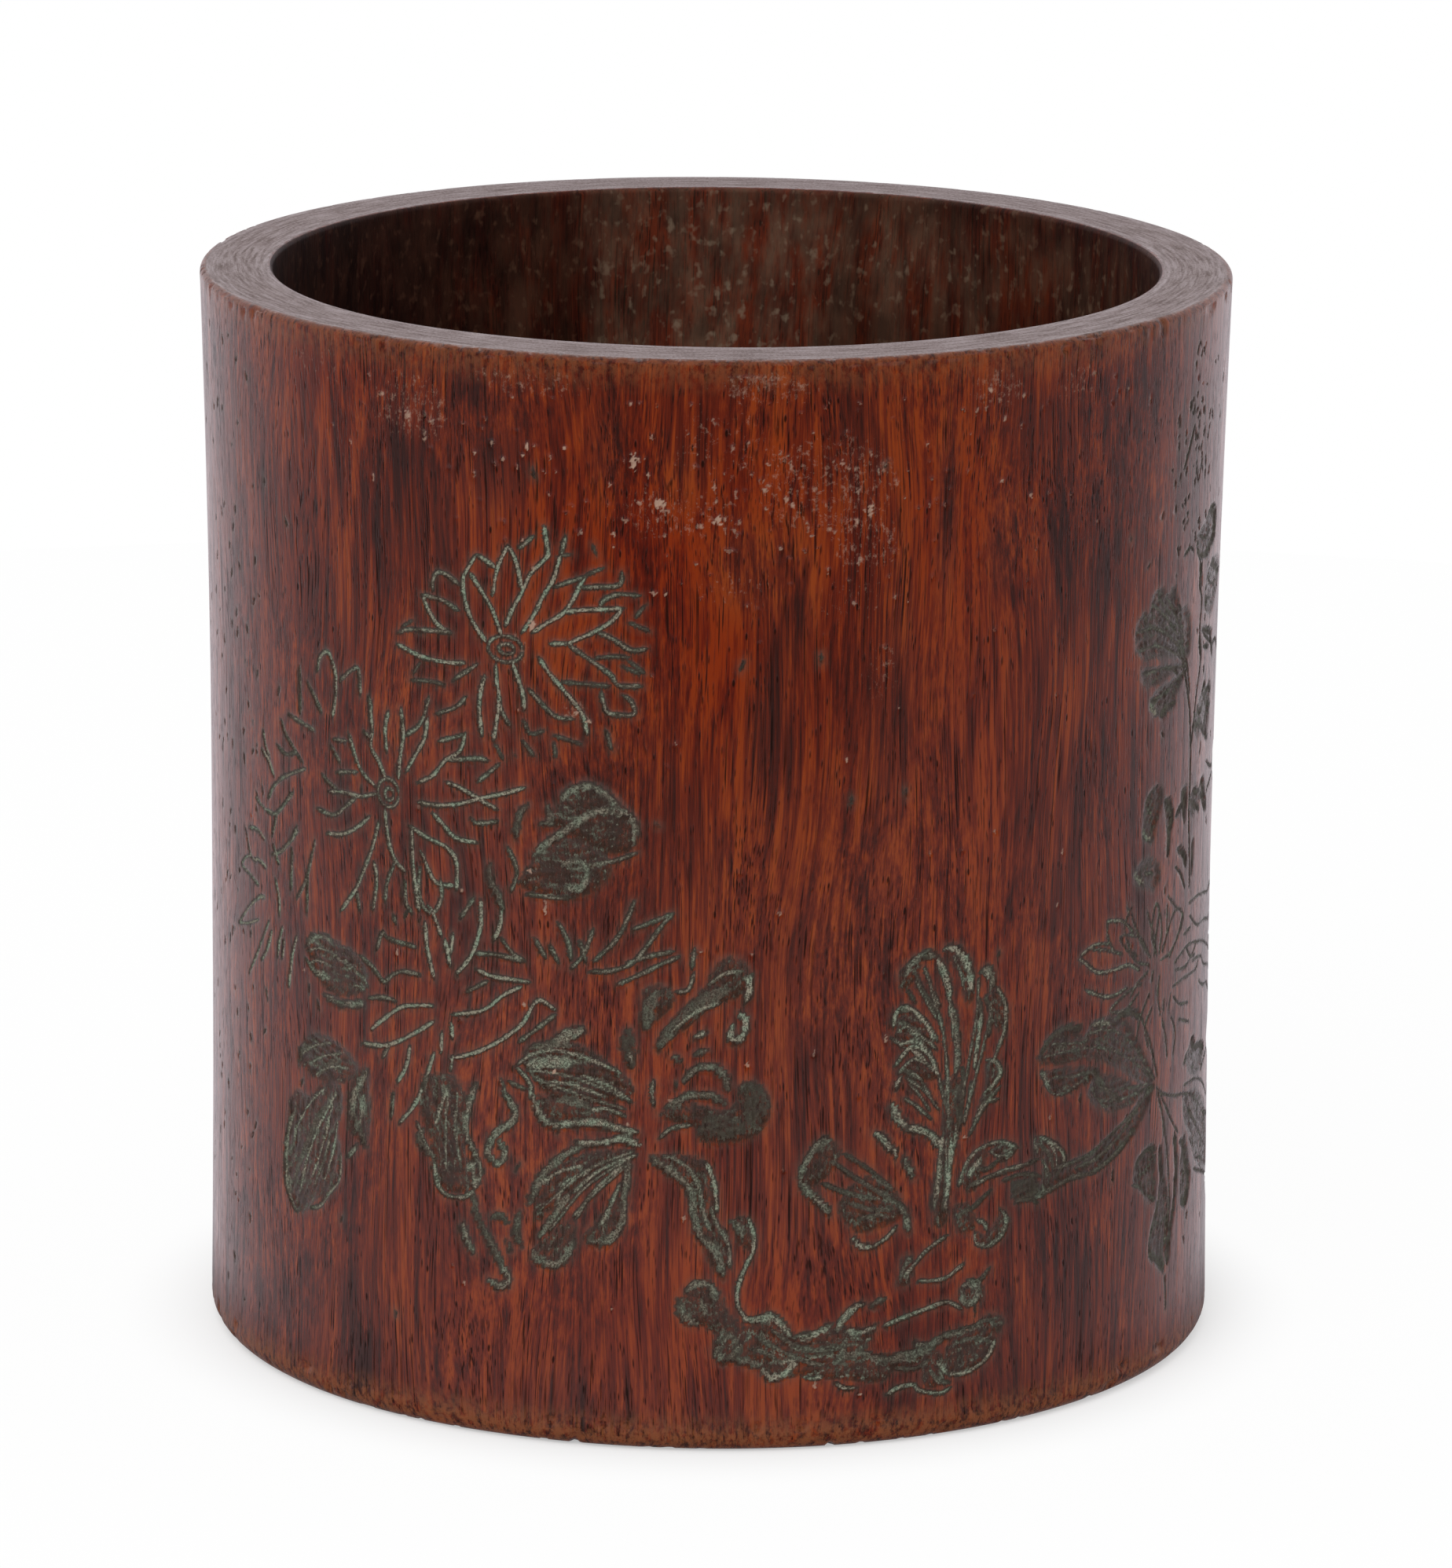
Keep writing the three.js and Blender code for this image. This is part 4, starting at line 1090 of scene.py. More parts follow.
class Relief:
    """What is cut into the outside of the wall, over the lattice rows of its body."""

    # How gently a cut's colour begins, its dark edge, which with dark pigment also paints the shade on a
    # groove's walls, how gently its pale floor begins, how far a film of colour reaches beside it, where a
    # stroke has its full depth, the slope at the edge of sunk places, their ribs, how deep a chip is, and
    # how close the points of curves lie, all in millimetres
    EDGE = 0.26
    DARK_SHADED_EDGE = 0.07
    PALE_EDGE = 0.13
    FILM_REACH = 1.3
    FULL_DEPTH = 0.7
    SLOPE = 0.8
    RIB_PITCH = 1.5
    CHIP_DEPTH = 0.3
    STROKE_SPACING = 0.25
    OUTLINE_SPACING = 0.35
    FAR_OFF = 9.0
    # How much colour the film holds
    FILM = 0.13
    # A stroke's width wavers by these shares every so many millimetres, and narrows towards its ends
    WAVER = (0.82, 1.18)
    WAVER_LENGTH = 1.3
    TIP_WIDTH = 0.45
    TIP_LENGTH = 3.5
    # No scattered damage lies as near as this to the rim, the foot and the seam of the lattice
    RIM_CLEARANCE = 6
    FOOT_CLEARANCE = 10
    SEAM_CLEARANCE = 3

    def __init__(self, heights, rng):
        self.heights = heights
        self.around = (np.arange(COLUMNS) - COLUMNS / 2) * STEP
        shape = (len(heights), COLUMNS)
        self.rng = rng
        self.hollow = np.zeros(shape)
        self.groove = np.zeros(shape)
        self.stain = np.zeros(shape)
        self.pale = np.zeros(shape)
        self.bare = np.zeros(shape)

    def window(self, points, margin):
        """The lattice rows and columns near some points, and their places."""
        (s_low, z_low), (s_high, z_high) = points.min(0) - margin, points.max(0) + margin
        rows = np.searchsorted(self.heights, (z_low, z_high))
        columns = np.searchsorted(self.around, (s_low, s_high))
        s, z = np.meshgrid(self.around[slice(*columns)], self.heights[slice(*rows)])
        return (slice(*rows), slice(*columns)), np.stack([s, z], axis=-1)

    def mark(self, area, inside, pale, cover):
        """Colour a cut: inside is how far within its edge each lattice point lies, in millimetres."""
        stain = cover * np.clip((inside + self.EDGE / 2) / self.EDGE, 0, 1)
        film = self.FILM * np.clip(1 + inside / self.FILM_REACH, 0, 1)
        self.stain[area] = np.maximum(self.stain[area], np.maximum(stain, film))
        # Short of the dark edge no pale colour lies, so a groove's rim stays dark: dark pigment and painted
        # shade
        core = np.clip((inside - self.DARK_SHADED_EDGE) / self.PALE_EDGE, 0, 1)
        self.pale[area] = np.where(inside < self.DARK_SHADED_EDGE, self.pale[area], pale * core)

    def stroke(self, kind, pale, points):
        """Cut a stroke of the gouge: deepest along its middle, and tapered at both ends."""
        half_width, depth, cover = CUTS[kind]
        curve = smooth_curve(points, self.STROKE_SPACING)
        length = np.r_[0, np.cumsum(np.linalg.norm(np.diff(curve, axis=0), axis=1))]
        from_end = np.minimum(length, length[-1] - length)
        knots = np.arange(0, length[-1] + 2, self.WAVER_LENGTH)
        waver = np.interp(length, knots, self.rng.uniform(*self.WAVER, len(knots)))
        taper = np.clip(self.TIP_WIDTH + from_end / (self.TIP_LENGTH * half_width), 0, 1)
        area, places = self.window(curve, half_width * 1.3 + self.FILM_REACH)
        s, z = places[..., 0], places[..., 1]
        inside = np.full(s.shape, -self.FAR_OFF)
        for (middle_s, middle_z), reach in zip(curve, half_width * waver * taper):
            inside = np.maximum(inside, reach - np.hypot(s - middle_s, z - middle_z))
        share = np.clip(inside / min(half_width, self.FULL_DEPTH), 0, 1)
        cut = depth * share ** 0.8
        field = self.groove if kind in GROOVE_KINDS else self.hollow
        field[area] = np.maximum(field[area], cut)
        self.mark(area, inside, pale, cover)

    def sunk(self, kind, pale, points):
        """Sink the inside of an outline a little, with a sloping edge and wavy ribs along it."""
        _, depth, cover = CUTS[kind]
        outline = smooth_curve(np.vstack([points, points[:1]]), self.OUTLINE_SPACING)
        area, places = self.window(outline, self.FILM_REACH)
        s, z = places[..., 0], places[..., 1]
        within = np.zeros(s.shape, bool)
        nearest = np.full(s.shape, self.FAR_OFF)
        for (s0, z0), (s1, z1) in zip(outline[:-1], outline[1:]):
            nearest = np.minimum(nearest, np.hypot(s - s0, z - z0))
            if z0 != z1:
                within ^= ((z0 > z) != (z1 > z)) & (s < (s1 - s0) * (z - z0) / (z1 - z0) + s0)
        inside = np.where(within, nearest, -nearest)
        middle = outline.mean(0)
        length_way, width_way = np.linalg.svd(outline - middle, full_matrices=False)[2]
        along = (places - middle) @ length_way
        across = (places - middle) @ width_way * (1 + 0.02 * along)
        bend = 0.35 * np.sin(along / 2.4) + 0.5 * np.sin(along / 5.1 + across / 3.3)
        ribs = 0.5 + 0.5 * np.sin(2 * math.pi * (across / self.RIB_PITCH + bend))
        cut = depth * np.clip(inside / self.SLOPE, 0, 1) * (1.2 - 0.55 * ribs)
        self.hollow[area] = np.maximum(self.hollow[area], cut)
        self.mark(area, inside, pale * (0.34 + 0.95 * ribs), cover * (0.78 + 0.4 * ribs))

    def chip(self, s, z, half_width, half_height, bare):
        """Knock a small piece out of the surface, which leaves paler wood that is also a painted highlight.
        """
        area, places = self.window(np.array([[s, z]]), 1.6 * max(half_width, half_height) + 2 * STEP)
        ragged = self.rng.uniform(-0.45, 0.45, places.shape[:2])
        share = 1 - np.hypot((places[..., 0] - s) / half_width, (places[..., 1] - z) / half_height) + ragged
        self.groove[area] = np.maximum(self.groove[area], self.CHIP_DEPTH * np.clip(share, 0, 1))
        self.bare[area] = np.maximum(self.bare[area], bare * np.clip(2.5 * share, 0, 1))

    def scuff(self, s, z, half_width, half_height, thickness):
        """Rub a wide place thinly bare, which also paints a highlight."""
        area, places = self.window(np.array([[s, z]]), 1.5 * max(half_width, half_height))
        away = ((places[..., 0] - s) / half_width) ** 2 + ((places[..., 1] - z) / half_height) ** 2
        self.bare[area] = np.maximum(self.bare[area], thickness * np.clip(1.4 - away, 0, 1))

    def carve(self):
        """Cut all the carving, then the damage of use, with painted highlights among its pale places."""
        for part in CARVING:
            for kind, pale, strokes in part:
                for numbers in strokes:
                    points = np.array(numbers, float).reshape(-1, 2)
                    if kind in SUNK_KINDS:
                        self.sunk(kind, pale, points)
                    else:
                        self.stroke(kind, pale, points)
        turn = np.linspace(0, 2 * math.pi, RING_POINTS)
        for s, z, half_width, half_height in RINGS:
            ring = np.stack([s + half_width * np.cos(turn), z + half_height * np.sin(turn)], axis=1)
            self.stroke("fine", RING_PALE, ring)
        for chip in CHIPS:
            self.chip(*chip)
        for scuff in SCUFFS_AND_HIGHLIGHTS:
            self.scuff(*scuff)
        for s, z in self.scattered(FLECKS_AND_GLINTS):
            half_width = self.rng.uniform(*FLECK_HALF_WIDTH)
            half_height = self.rng.uniform(*FLECK_HALF_HEIGHT)
            self.chip(s, z, half_width, half_height, self.rng.uniform(*FLECK_BARE))
        for s, z in self.scattered(NICKS):
            reach = np.array([self.rng.uniform(*NICK_ASIDE), self.rng.uniform(*NICK_UP)])
            self.stroke("nick", 0, np.array([(s, z) - reach, (s, z) + reach]))

    def scattered(self, clusters):
        """Random places about the middle of each cluster, clear of the rim and the foot."""
        for s, z, spread_s, spread_z, count in clusters:
            for place in self.rng.normal((s, z), (spread_s, spread_z), (count, 2)):
                on_body = self.FOOT_CLEARANCE < place[1] < HEIGHT - self.RIM_CLEARANCE
                if on_body and abs(place[0]) < GIRTH / 2 - self.SEAM_CLEARANCE:
                    yield place


def tone_of_patches(patches, around, heights):
    """How much warmer or darker the wood is in its broad patches, painted light and shade among them."""
    s, z = np.meshgrid(around, heights)
    tone_and_light = np.zeros(s.shape)
    for centre, height, half_width, half_height, change in patches:
        distance = ((s - centre) / half_width) ** 2 + ((z - height) / half_height) ** 2
        tone_and_light += change * np.exp(-1.2 * distance)
    return tone_and_light


def widened(mask, steps):
    """The mask grown by some lattice steps each way."""
    for axis in (0, 1):
        grown = mask.copy()
        for step in range(1, steps + 1):
            grown |= np.roll(mask, step, axis) | np.roll(mask, -step, axis)
        mask = grown
    return mask


def cell_sizes(fine, medium):
    """The size of the cell that covers each lattice cell, in steps: it grows away from the fine ones."""
    need = np.full(fine.shape, BLOCK)
    two = widened(fine, 1) | medium
    four = widened(two, 3)
    eight = widened(four, 8)
    for size, mask in ((8, eight), (4, four), (2, two), (1, fine)):
        need[mask] = size
    sizes = np.ones_like(need)
    for size in CELL_SIZES:
        rows, columns = need.shape
        blocks = need.reshape(rows // size, size, columns // size, size).min(axis=(1, 3)) >= size
        sizes[np.repeat(np.repeat(blocks, size, 0), size, 1)] = size
    return sizes


def lattice_faces(sizes):
    """Faces over cells of mixed sizes, with no gaps between them, as rows and columns of their corners."""
    rows, columns = sizes.shape
    used = np.zeros(sizes.shape, bool)
    cells = {}
    for size in (1, *CELL_SIZES):
        start = np.argwhere(sizes[::size, ::size] == size) * size
        corners = start[:, None, :] + size * np.array([[0, 0], [0, 1], [1, 1], [1, 0]])
        cells[size] = corners
        used[corners[..., 0] % rows, corners[..., 1] % columns] = True
    quads, triangles = [cells[1]], []
    for size in CELL_SIZES:
        corners = cells[size]
        side = np.arange(size)
        ring = np.concatenate([
            np.stack([side * 0, side], 1), np.stack([side, side * 0 + size], 1),
            np.stack([side * 0 + size, size - side], 1), np.stack([size - side, side * 0], 1)])
        ring_places = corners[:, :1, :] + ring
        taken = used[ring_places[..., 0] % rows, ring_places[..., 1] % columns]
        plain = taken.sum(1) == 4
        quads.append(corners[plain])
        for places, keep in zip(ring_places[~plain], taken[~plain]):
            border = places[keep]
            centre = places[0] + size // 2
            ahead = np.roll(border, -1, axis=0)
            triangles.append(np.stack([np.broadcast_to(centre, border.shape), border, ahead], axis=1))
    return np.concatenate(quads), np.concatenate(triangles)


# Where each stretch of the wall lies in its texture map: left, bottom, right, top
FRONT_MAP = (0.004, 0.336, 0.996, 0.996)
BACK_MAP = (0.004, 0.004, 0.494, 0.328)
BORE_MAP = (0.506, 0.168, 0.996, 0.328)
RIM_MAP = (0.506, 0.096, 0.996, 0.160)
FOOT_MAP = (0.506, 0.004, 0.996, 0.088)


def map_places(places, first, row_count):
    """Texture map coordinates of face corners, from their lattice rows and columns."""
    row, column = places[..., 0].astype(float), places[..., 1].astype(float)
    low_row = places[..., 0].min(axis=1, keepdims=True)
    low_column = places[..., 1].min(axis=1, keepdims=True)
    result = np.zeros(places.shape)
    quarter = COLUMNS / 4
    body = (low_row >= first["body"]) & (low_row < first["rim_outer"])
    front = (low_column >= quarter) & (low_column < 3 * quarter)
    body_share = (row - first["body"]) / (first["rim_outer"] - first["body"])
    turned = (column - 3 * quarter) % COLUMNS
    last = (turned == 0) & (column > low_column) & (low_column < 3 * quarter)
    turned = np.where(last, COLUMNS / 2, turned)
    foot_rows = first["body"] + row_count - first["shoulder"]
    rim_span = (first["rim_outer"], first["bore"])
    regions = (
        (body & front, FRONT_MAP, (column - quarter) / (2 * quarter), body_share),
        (body & ~front, BACK_MAP, turned / (2 * quarter), body_share),
        (low_row < first["body"], FOOT_MAP, column / COLUMNS, row / foot_rows),
        (low_row >= first["shoulder"], FOOT_MAP, column / COLUMNS,
         (row - first["shoulder"] + first["body"]) / foot_rows),
        ((low_row >= rim_span[0]) & (low_row < rim_span[1]), RIM_MAP, column / COLUMNS,
         (row - rim_span[0]) / (rim_span[1] - rim_span[0])),
        ((low_row >= first["bore"]) & (low_row < first["shoulder"]), BORE_MAP, column / COLUMNS,
         (row - first["bore"]) / (first["shoulder"] - first["bore"])),
    )
    for chosen, (left, bottom, right, top), across, up in regions:
        chosen = np.broadcast_to(chosen, row.shape)
        result[..., 0] = np.where(chosen, left + (right - left) * across, result[..., 0])
        result[..., 1] = np.where(chosen, bottom + (top - bottom) * up, result[..., 1])
    return result


# Unevenness of the surface: how many lattice rows and columns a feature spans, and its depth in millimetres
STIPPLE_CELLS = (2.2, 2.2)
STIPPLE_SHARE = 0.28
CROSSING_SHARE = 0.35
WAVE_CELLS = (170, 170)
WAVE_DEPTH = 0.10
SURFACE_DEPTH = 0.05
EDGE_NICK_CELLS = (9, 6)
EDGE_NICK_DEPTH = 0.9
EDGE_NICK_RARITY = 0.45
FOOT_NICK_SHARE = 1.3
# Grooves deeper than this, in millimetres, and wood barer than this get the finest cells
FINE_GROOVE = 0.02
FINE_BARE = 0.32
SHARP_ANGLE = math.radians(72)
# Worn edges: how worn the upper one is, how far wear reaches from the rim and from the foot, and over how
# much of that it fades, in millimetres
RIM_WEAR = 0.62
RIM_WEAR_REACH = 6
RIM_WEAR_FADE = 5
FOOT_WEAR_REACH = 7
FOOT_WEAR_FADE = 4
# What the materials need to know at each point: how much colour a cut holds, how pale that is, how bare the
# wood is, with its painted highlight, how warm or dark, with painted light and shade, whether it is in the
# well, how worn its edge is, and how dusty the rim, with its painted sheen
POINT_VALUES = ("stain", "pale", "bare", "tone_and_light", "inner", "edge", "rim")


def surface_depth(rng, relief, body, first, shape):
    """Depth of the cuts, with a stippled floor, and the unevenness of a worn surface, in millimetres."""
    stipple = random_cloud(rng, *relief.hollow.shape, STIPPLE_CELLS)
    floor = relief.hollow * (1 + STIPPLE_SHARE * stipple)
    depth = np.zeros(shape)
    depth[body] = np.maximum(floor, relief.groove) + CROSSING_SHARE * np.minimum(floor, relief.groove)
    depth += WAVE_DEPTH * random_cloud(rng, *shape, WAVE_CELLS) + SURFACE_DEPTH
    rim = slice(first["rim_outer"] - 5, first["rim_outer"] + BLOCK)
    bumpy = random_cloud(rng, *shape, EDGE_NICK_CELLS)
    nicks = np.clip(bumpy - EDGE_NICK_RARITY, 0, 1) * EDGE_NICK_DEPTH
    depth[rim] += nicks[rim]
    foot = slice(first["foot_edge"], first["body"] + 5)
    depth[foot] += FOOT_NICK_SHARE * nicks[foot]
    return depth


def chosen_cells(relief, body, first, shape):
    """Sizes of the lattice cells: fine where it is cut, and medium where colour lies and at the edges."""
    fine = np.zeros(shape, bool)
    fine[body] = (relief.groove > FINE_GROOVE) | (relief.bare > FINE_BARE)
    medium = np.zeros(shape, bool)
    medium[body] = relief.stain > relief.FILM
    edges = [(first["rim_outer"] - 4, first["rim_top"] + 2), (first["rim_inner"] - 2, first["bore"] + 2),
             (first["foot_edge"], first["body"] + 4)]
    for low, high in edges:
        medium[low:high] = True
    return cell_sizes(fine, medium)


def point_values(relief, section, body, first, shape):
    """What the materials need to know, at each point of the lattice."""
    whole = {name: np.zeros(shape) for name in POINT_VALUES}
    whole["stain"][body] = relief.stain
    whole["pale"][body] = relief.pale
    whole["bare"][body] = relief.bare
    inside = slice(first["rim_inner"] + 6, first["shoulder"])
    whole["tone_and_light"][:] = tone_of_patches(TONE_AND_LIGHT_PATCHES, relief.around, section[:, 1])
    whole["tone_and_light"][inside] = tone_of_patches(INSIDE_LIGHT_AND_SHADE_PATCHES, relief.around, section[inside, 1])
    whole["inner"][inside] = 1
    dust_rows = (first["rim_outer"] + 2, first["rim_top"] + 8,
                 first["rim_inner"] - 7, first["rim_inner"] + 9)
    rows = np.arange(len(section))
    whole["rim"][:] = np.interp(rows, dust_rows, (0, 1, 1, 0))[:, None]
    height = section[:, 1]
    rim_wear = RIM_WEAR * np.clip((height - (HEIGHT - RIM_WEAR_REACH)) / RIM_WEAR_FADE, 0, 1)
    foot_wear = np.clip((FOOT_WEAR_REACH - height) / FOOT_WEAR_FADE, 0, 1)
    outside = rows < first["rim_top"]
    whole["edge"][:] = np.where(outside, np.maximum(rim_wear, foot_wear), 0)[:, None]
    return whole


def make_wall():
    """The carved wall as one closed mesh, with what the materials need to know at each of its points."""
    rng = np.random.default_rng(SEED)
    section, first = wall_section()
    body = slice(first["body"], first["rim_outer"])
    relief = Relief(section[body, 1], rng)
    relief.carve()
    row_count = len(section)
    shape = (row_count, COLUMNS)
    depth = surface_depth(rng, relief, body, first, shape)
    quads, triangles = lattice_faces(chosen_cells(relief, body, first, shape))

    # Places of the lattice points
    angle = (np.arange(COLUMNS) / COLUMNS * 2 - 1) * math.pi
    radius = section[:, 0, None] - depth * section[:, 2, None]
    height = section[:, 1, None] - depth * section[:, 3, None]
    places = np.stack([radius * np.sin(angle), -radius * np.cos(angle), height], axis=-1)

    # Only the points that a face uses go into the mesh
    used = np.zeros(shape, bool)
    for faces in (quads, triangles):
        used[faces[..., 0] % row_count, faces[..., 1] % COLUMNS] = True
    number = np.full(shape, -1)
    number[used] = np.arange(used.sum())
    corners = [number[f[..., 0] % row_count, f[..., 1] % COLUMNS] for f in (quads, triangles)]
    mesh = bpy.data.meshes.new("carved_wall")
    mesh.from_pydata((places[used] * MM).tolist(), [], corners[0].tolist() + corners[1].tolist())
    mesh.polygons.foreach_set("use_smooth", np.ones(len(mesh.polygons), bool))
    mesh.set_sharp_from_angle(angle=SHARP_ANGLE)

    layer = mesh.uv_layers.new(name="OFBake")
    map_corners = [map_places(f, first, row_count).reshape(-1, 2) for f in (quads, triangles)]
    layer.uv.foreach_set("vector", np.concatenate(map_corners).astype(np.float32).ravel())
    for name, values in point_values(relief, section, body, first, shape).items():
        attribute = mesh.attributes.new(name, "FLOAT", "POINT")
        attribute.data.foreach_set("value", values[used].astype(np.float32))

    wall = bpy.data.objects.new("carved_wall", mesh)
    bpy.context.scene.collection.objects.link(wall)
    return wall


class Nodes:
    """The nodes of one tree. What adds a node gives back its output."""

    # The grain sways: how many waves there are to a metre, and how wide they are in metres
    SWAY_WAVES = (45, 45, 14)
    SWAY_WIDTH = (0.010, 0.010, 0)

    def __init__(self, tree):
        self.tree = tree
        self.shader = tree.nodes.get("Principled BSDF")
        self.swayed = None

    def put(self, socket, value):
        """Set a socket to a value, or link an output to it."""
        if isinstance(value, bpy.types.NodeSocket):
            self.tree.links.new(value, socket)
        else:
            socket.default_value = value

    def add(self, kind, sockets, output=0, **settings):
        """Add a node of a kind with its sockets and settings."""
        node = self.tree.nodes.new(kind)
        for name, value in settings.items():
            setattr(node, name, value)
        for key, value in sockets.items():
            self.put(node.inputs[key], value)
        return None if output is None else node.outputs[output]

    def attribute(self, name):
        """A value that the mesh holds at each of its points."""
        return self.add("ShaderNodeAttribute", {}, output="Fac", attribute_name=name)

    def math(self, operation, first, second=0.0, clamp=False):
        return self.add("ShaderNodeMath", {0: first, 1: second}, operation=operation, use_clamp=clamp)

    def times(self, first, second, clamp=False):
        return self.math("MULTIPLY", first, second, clamp)

    def plus(self, first, second):
        return self.math("ADD", first, second)

    def minus(self, first, second):
        return self.math("SUBTRACT", first, second)

    def greater(self, first, second):
        return self.math("MAXIMUM", first, second)

    def map_range(self, value, low, high, to_low=0.0, to_high=1.0, **settings):
        """A value moved from one range into another."""
        sockets = {"Value": value, 1: low, 2: high, 3: to_low, 4: to_high}
        return self.add("ShaderNodeMapRange", sockets, **settings)

    def place(self):
        """Coordinates of the object, in metres."""
        return self.add("ShaderNodeTexCoord", {}, output="Object")

    def length(self, vector):
        return self.add("ShaderNodeVectorMath", {0: vector}, output="Value", operation="LENGTH")

    def split(self, vector):
        """The three parts of a vector, by their names."""
        return self.add("ShaderNodeSeparateXYZ", {0: vector}).node.outputs

    def grain_place(self):
        """Coordinates of the object, swayed a little so that the grain leans and waves."""
        if self.swayed is None:
            place = self.place()
            waves = self.add("ShaderNodeMapping", {0: place, 3: self.SWAY_WAVES})
            noise = {"Vector": waves, "Scale": 1.0, "Detail": 1.0}
            sway = self.add("ShaderNodeTexNoise", noise, output="Color")
            centred = self.add("ShaderNodeVectorMath", {0: sway, 1: (0.5, 0.5, 0.5)}, operation="SUBTRACT")
            shift = self.add("ShaderNodeVectorMath", {0: centred, 1: self.SWAY_WIDTH}, operation="MULTIPLY")
            self.swayed = self.add("ShaderNodeVectorMath", {0: place, 1: shift}, operation="ADD")
        return self.swayed

    def stretched(self, across, along):
        """Coordinates in cells: millimetres across the grain and along it for one cell."""
        scale = (1 / MM / across, 1 / MM / across, 1 / MM / along)
        return self.add("ShaderNodeMapping", {0: self.grain_place(), 3: scale})

    def ring_place(self, outwards, along):
        """Coordinates in cells over end grain: millimetres outwards and along the rings for one cell."""
        parts = self.split(self.place())
        flat = self.add("ShaderNodeCombineXYZ", {0: parts["X"], 1: parts["Y"]})
        radius = self.length(flat)
        turn = self.math("ARCTAN2", parts["X"], parts["Y"])
        cells_outwards = self.times(radius, 1 / MM / outwards)
        cells_along = self.times(turn, WAIST_RADIUS / along)
        return self.add("ShaderNodeCombineXYZ", {0: cells_outwards, 1: cells_along})

    def noise(self, across, along, detail=2.0, roughness=0.5, distortion=0.0):
        """Noise whose features are so many millimetres across the grain and along it."""
        return self.noise_at(self.stretched(across, along), detail, roughness, distortion)

    def noise_at(self, place, detail, roughness, distortion=0.0):
        sockets = {"Vector": place, "Scale": 1.0, "Detail": detail, "Roughness": roughness}
        sockets["Distortion"] = distortion
        return self.add("ShaderNodeTexNoise", sockets)

    def spots(self, across, along):
        """Distance from the nearest of scattered spots, so many millimetres apart across and along."""
        sockets = {"Vector": self.stretched(across, along), "Scale": 1.0}
        return self.add("ShaderNodeTexVoronoi", sockets, feature="F1")

    def ramp(self, value, stops):
        """A colour or a grey from a value, through stops of (place, colour)."""
        result = self.add("ShaderNodeValToRGB", {0: value})
        ramp = result.node.color_ramp
        while len(ramp.elements) < len(stops):
            ramp.elements.new(0.5)
        for element, (place, colour) in zip(ramp.elements, stops):
            element.position = place
            element.color = (*colour, 1) if isinstance(colour, tuple) else (colour, colour, colour, 1)
        return result

    def mix(self, share, first, second, blend="MIX"):
        """Two colours mixed: the share is how much of the second shows."""
        node = self.tree.nodes.new("ShaderNodeMix")
        node.data_type = "RGBA"
        node.blend_type = blend
        for key, value in ((0, share), (6, first), (7, second)):
            self.put(node.inputs[key], (*value, 1) if isinstance(value, tuple) else value)
        return node.outputs[2]

    def mix_shader(self, share, first, second):
        return self.add("ShaderNodeMixShader", {0: share, 1: first, 2: second})

    def bump(self, height, distance):
        """A surface that rises by a distance in millimetres for each unit of height."""
        return self.add("ShaderNodeBump", {"Height": height, "Distance": distance * MM})


# Colours of the wood and of what is rubbed into its carving, linear
WOOD_DARK = (0.028, 0.0052, 0.0028)
WOOD_DEEP = (0.072, 0.0085, 0.0030)
WOOD_RED = (0.122, 0.0150, 0.0038)
WOOD_ORANGE = (0.215, 0.0370, 0.0056)
# How the wood warms in its warm patches, partly as a painted glow of light
WARMTH_AND_GLOW = (0.84, 0.50, 0.36)
PORE = (0.008, 0.0035, 0.0025)
# Dirt, which also serves as painted shade in the dark seams beside the carving
DIRT_AND_SHADE = (0.022, 0.0125, 0.0085)
INSIDE_FILM = (0.165, 0.100, 0.064)
INSIDE_SPECK = (0.33, 0.26, 0.18)
# Painted shade in the well: how much the wood is darkened, from the left round to the back
INSIDE_PAINTED_SHADES = [(0.0, (0.23, 0.105, 0.09)), (0.5, (0.32, 0.19, 0.15)), (1.0, (1.0, 1.0, 1.0))]
PIGMENT_DARK = (0.042, 0.0300, 0.0200)
PIGMENT_MIDDLE = (0.080, 0.0620, 0.0440)
PIGMENT_PALE = (0.310, 0.2750, 0.2050)
GREEN_DARK = (0.032, 0.0370, 0.0250)
GREEN_PALE = (0.170, 0.3150, 0.2200)
# Bare wood, and a painted highlight where the upper front is scuffed
BARE_WOOD_AND_HIGHLIGHT = (0.34, 0.215, 0.155)
RUBBED_WOOD = (0.215, 0.0660, 0.0230)
# The rim's dust colours are dust and also a painted sheen, the pale grey that a grazing reflection gives
DUST_BROWN = (0.088, 0.050, 0.038)
DUST_AND_SHEEN = (0.198, 0.147, 0.140)
DUST_PALE_AND_SHEEN = (0.300, 0.245, 0.245)

# How the wax shines, and how dull dust, pigment and the well are
ROUGH_DRY = (0.56, 0.56, 0.56)
WAX_IOR = 1.45
SPECULAR = 0.5
SPECULAR_LOST = 0.45


def new_material(name):
    material = bpy.data.materials.new(name)
    material.use_nodes = True
    return material, Nodes(material.node_tree)


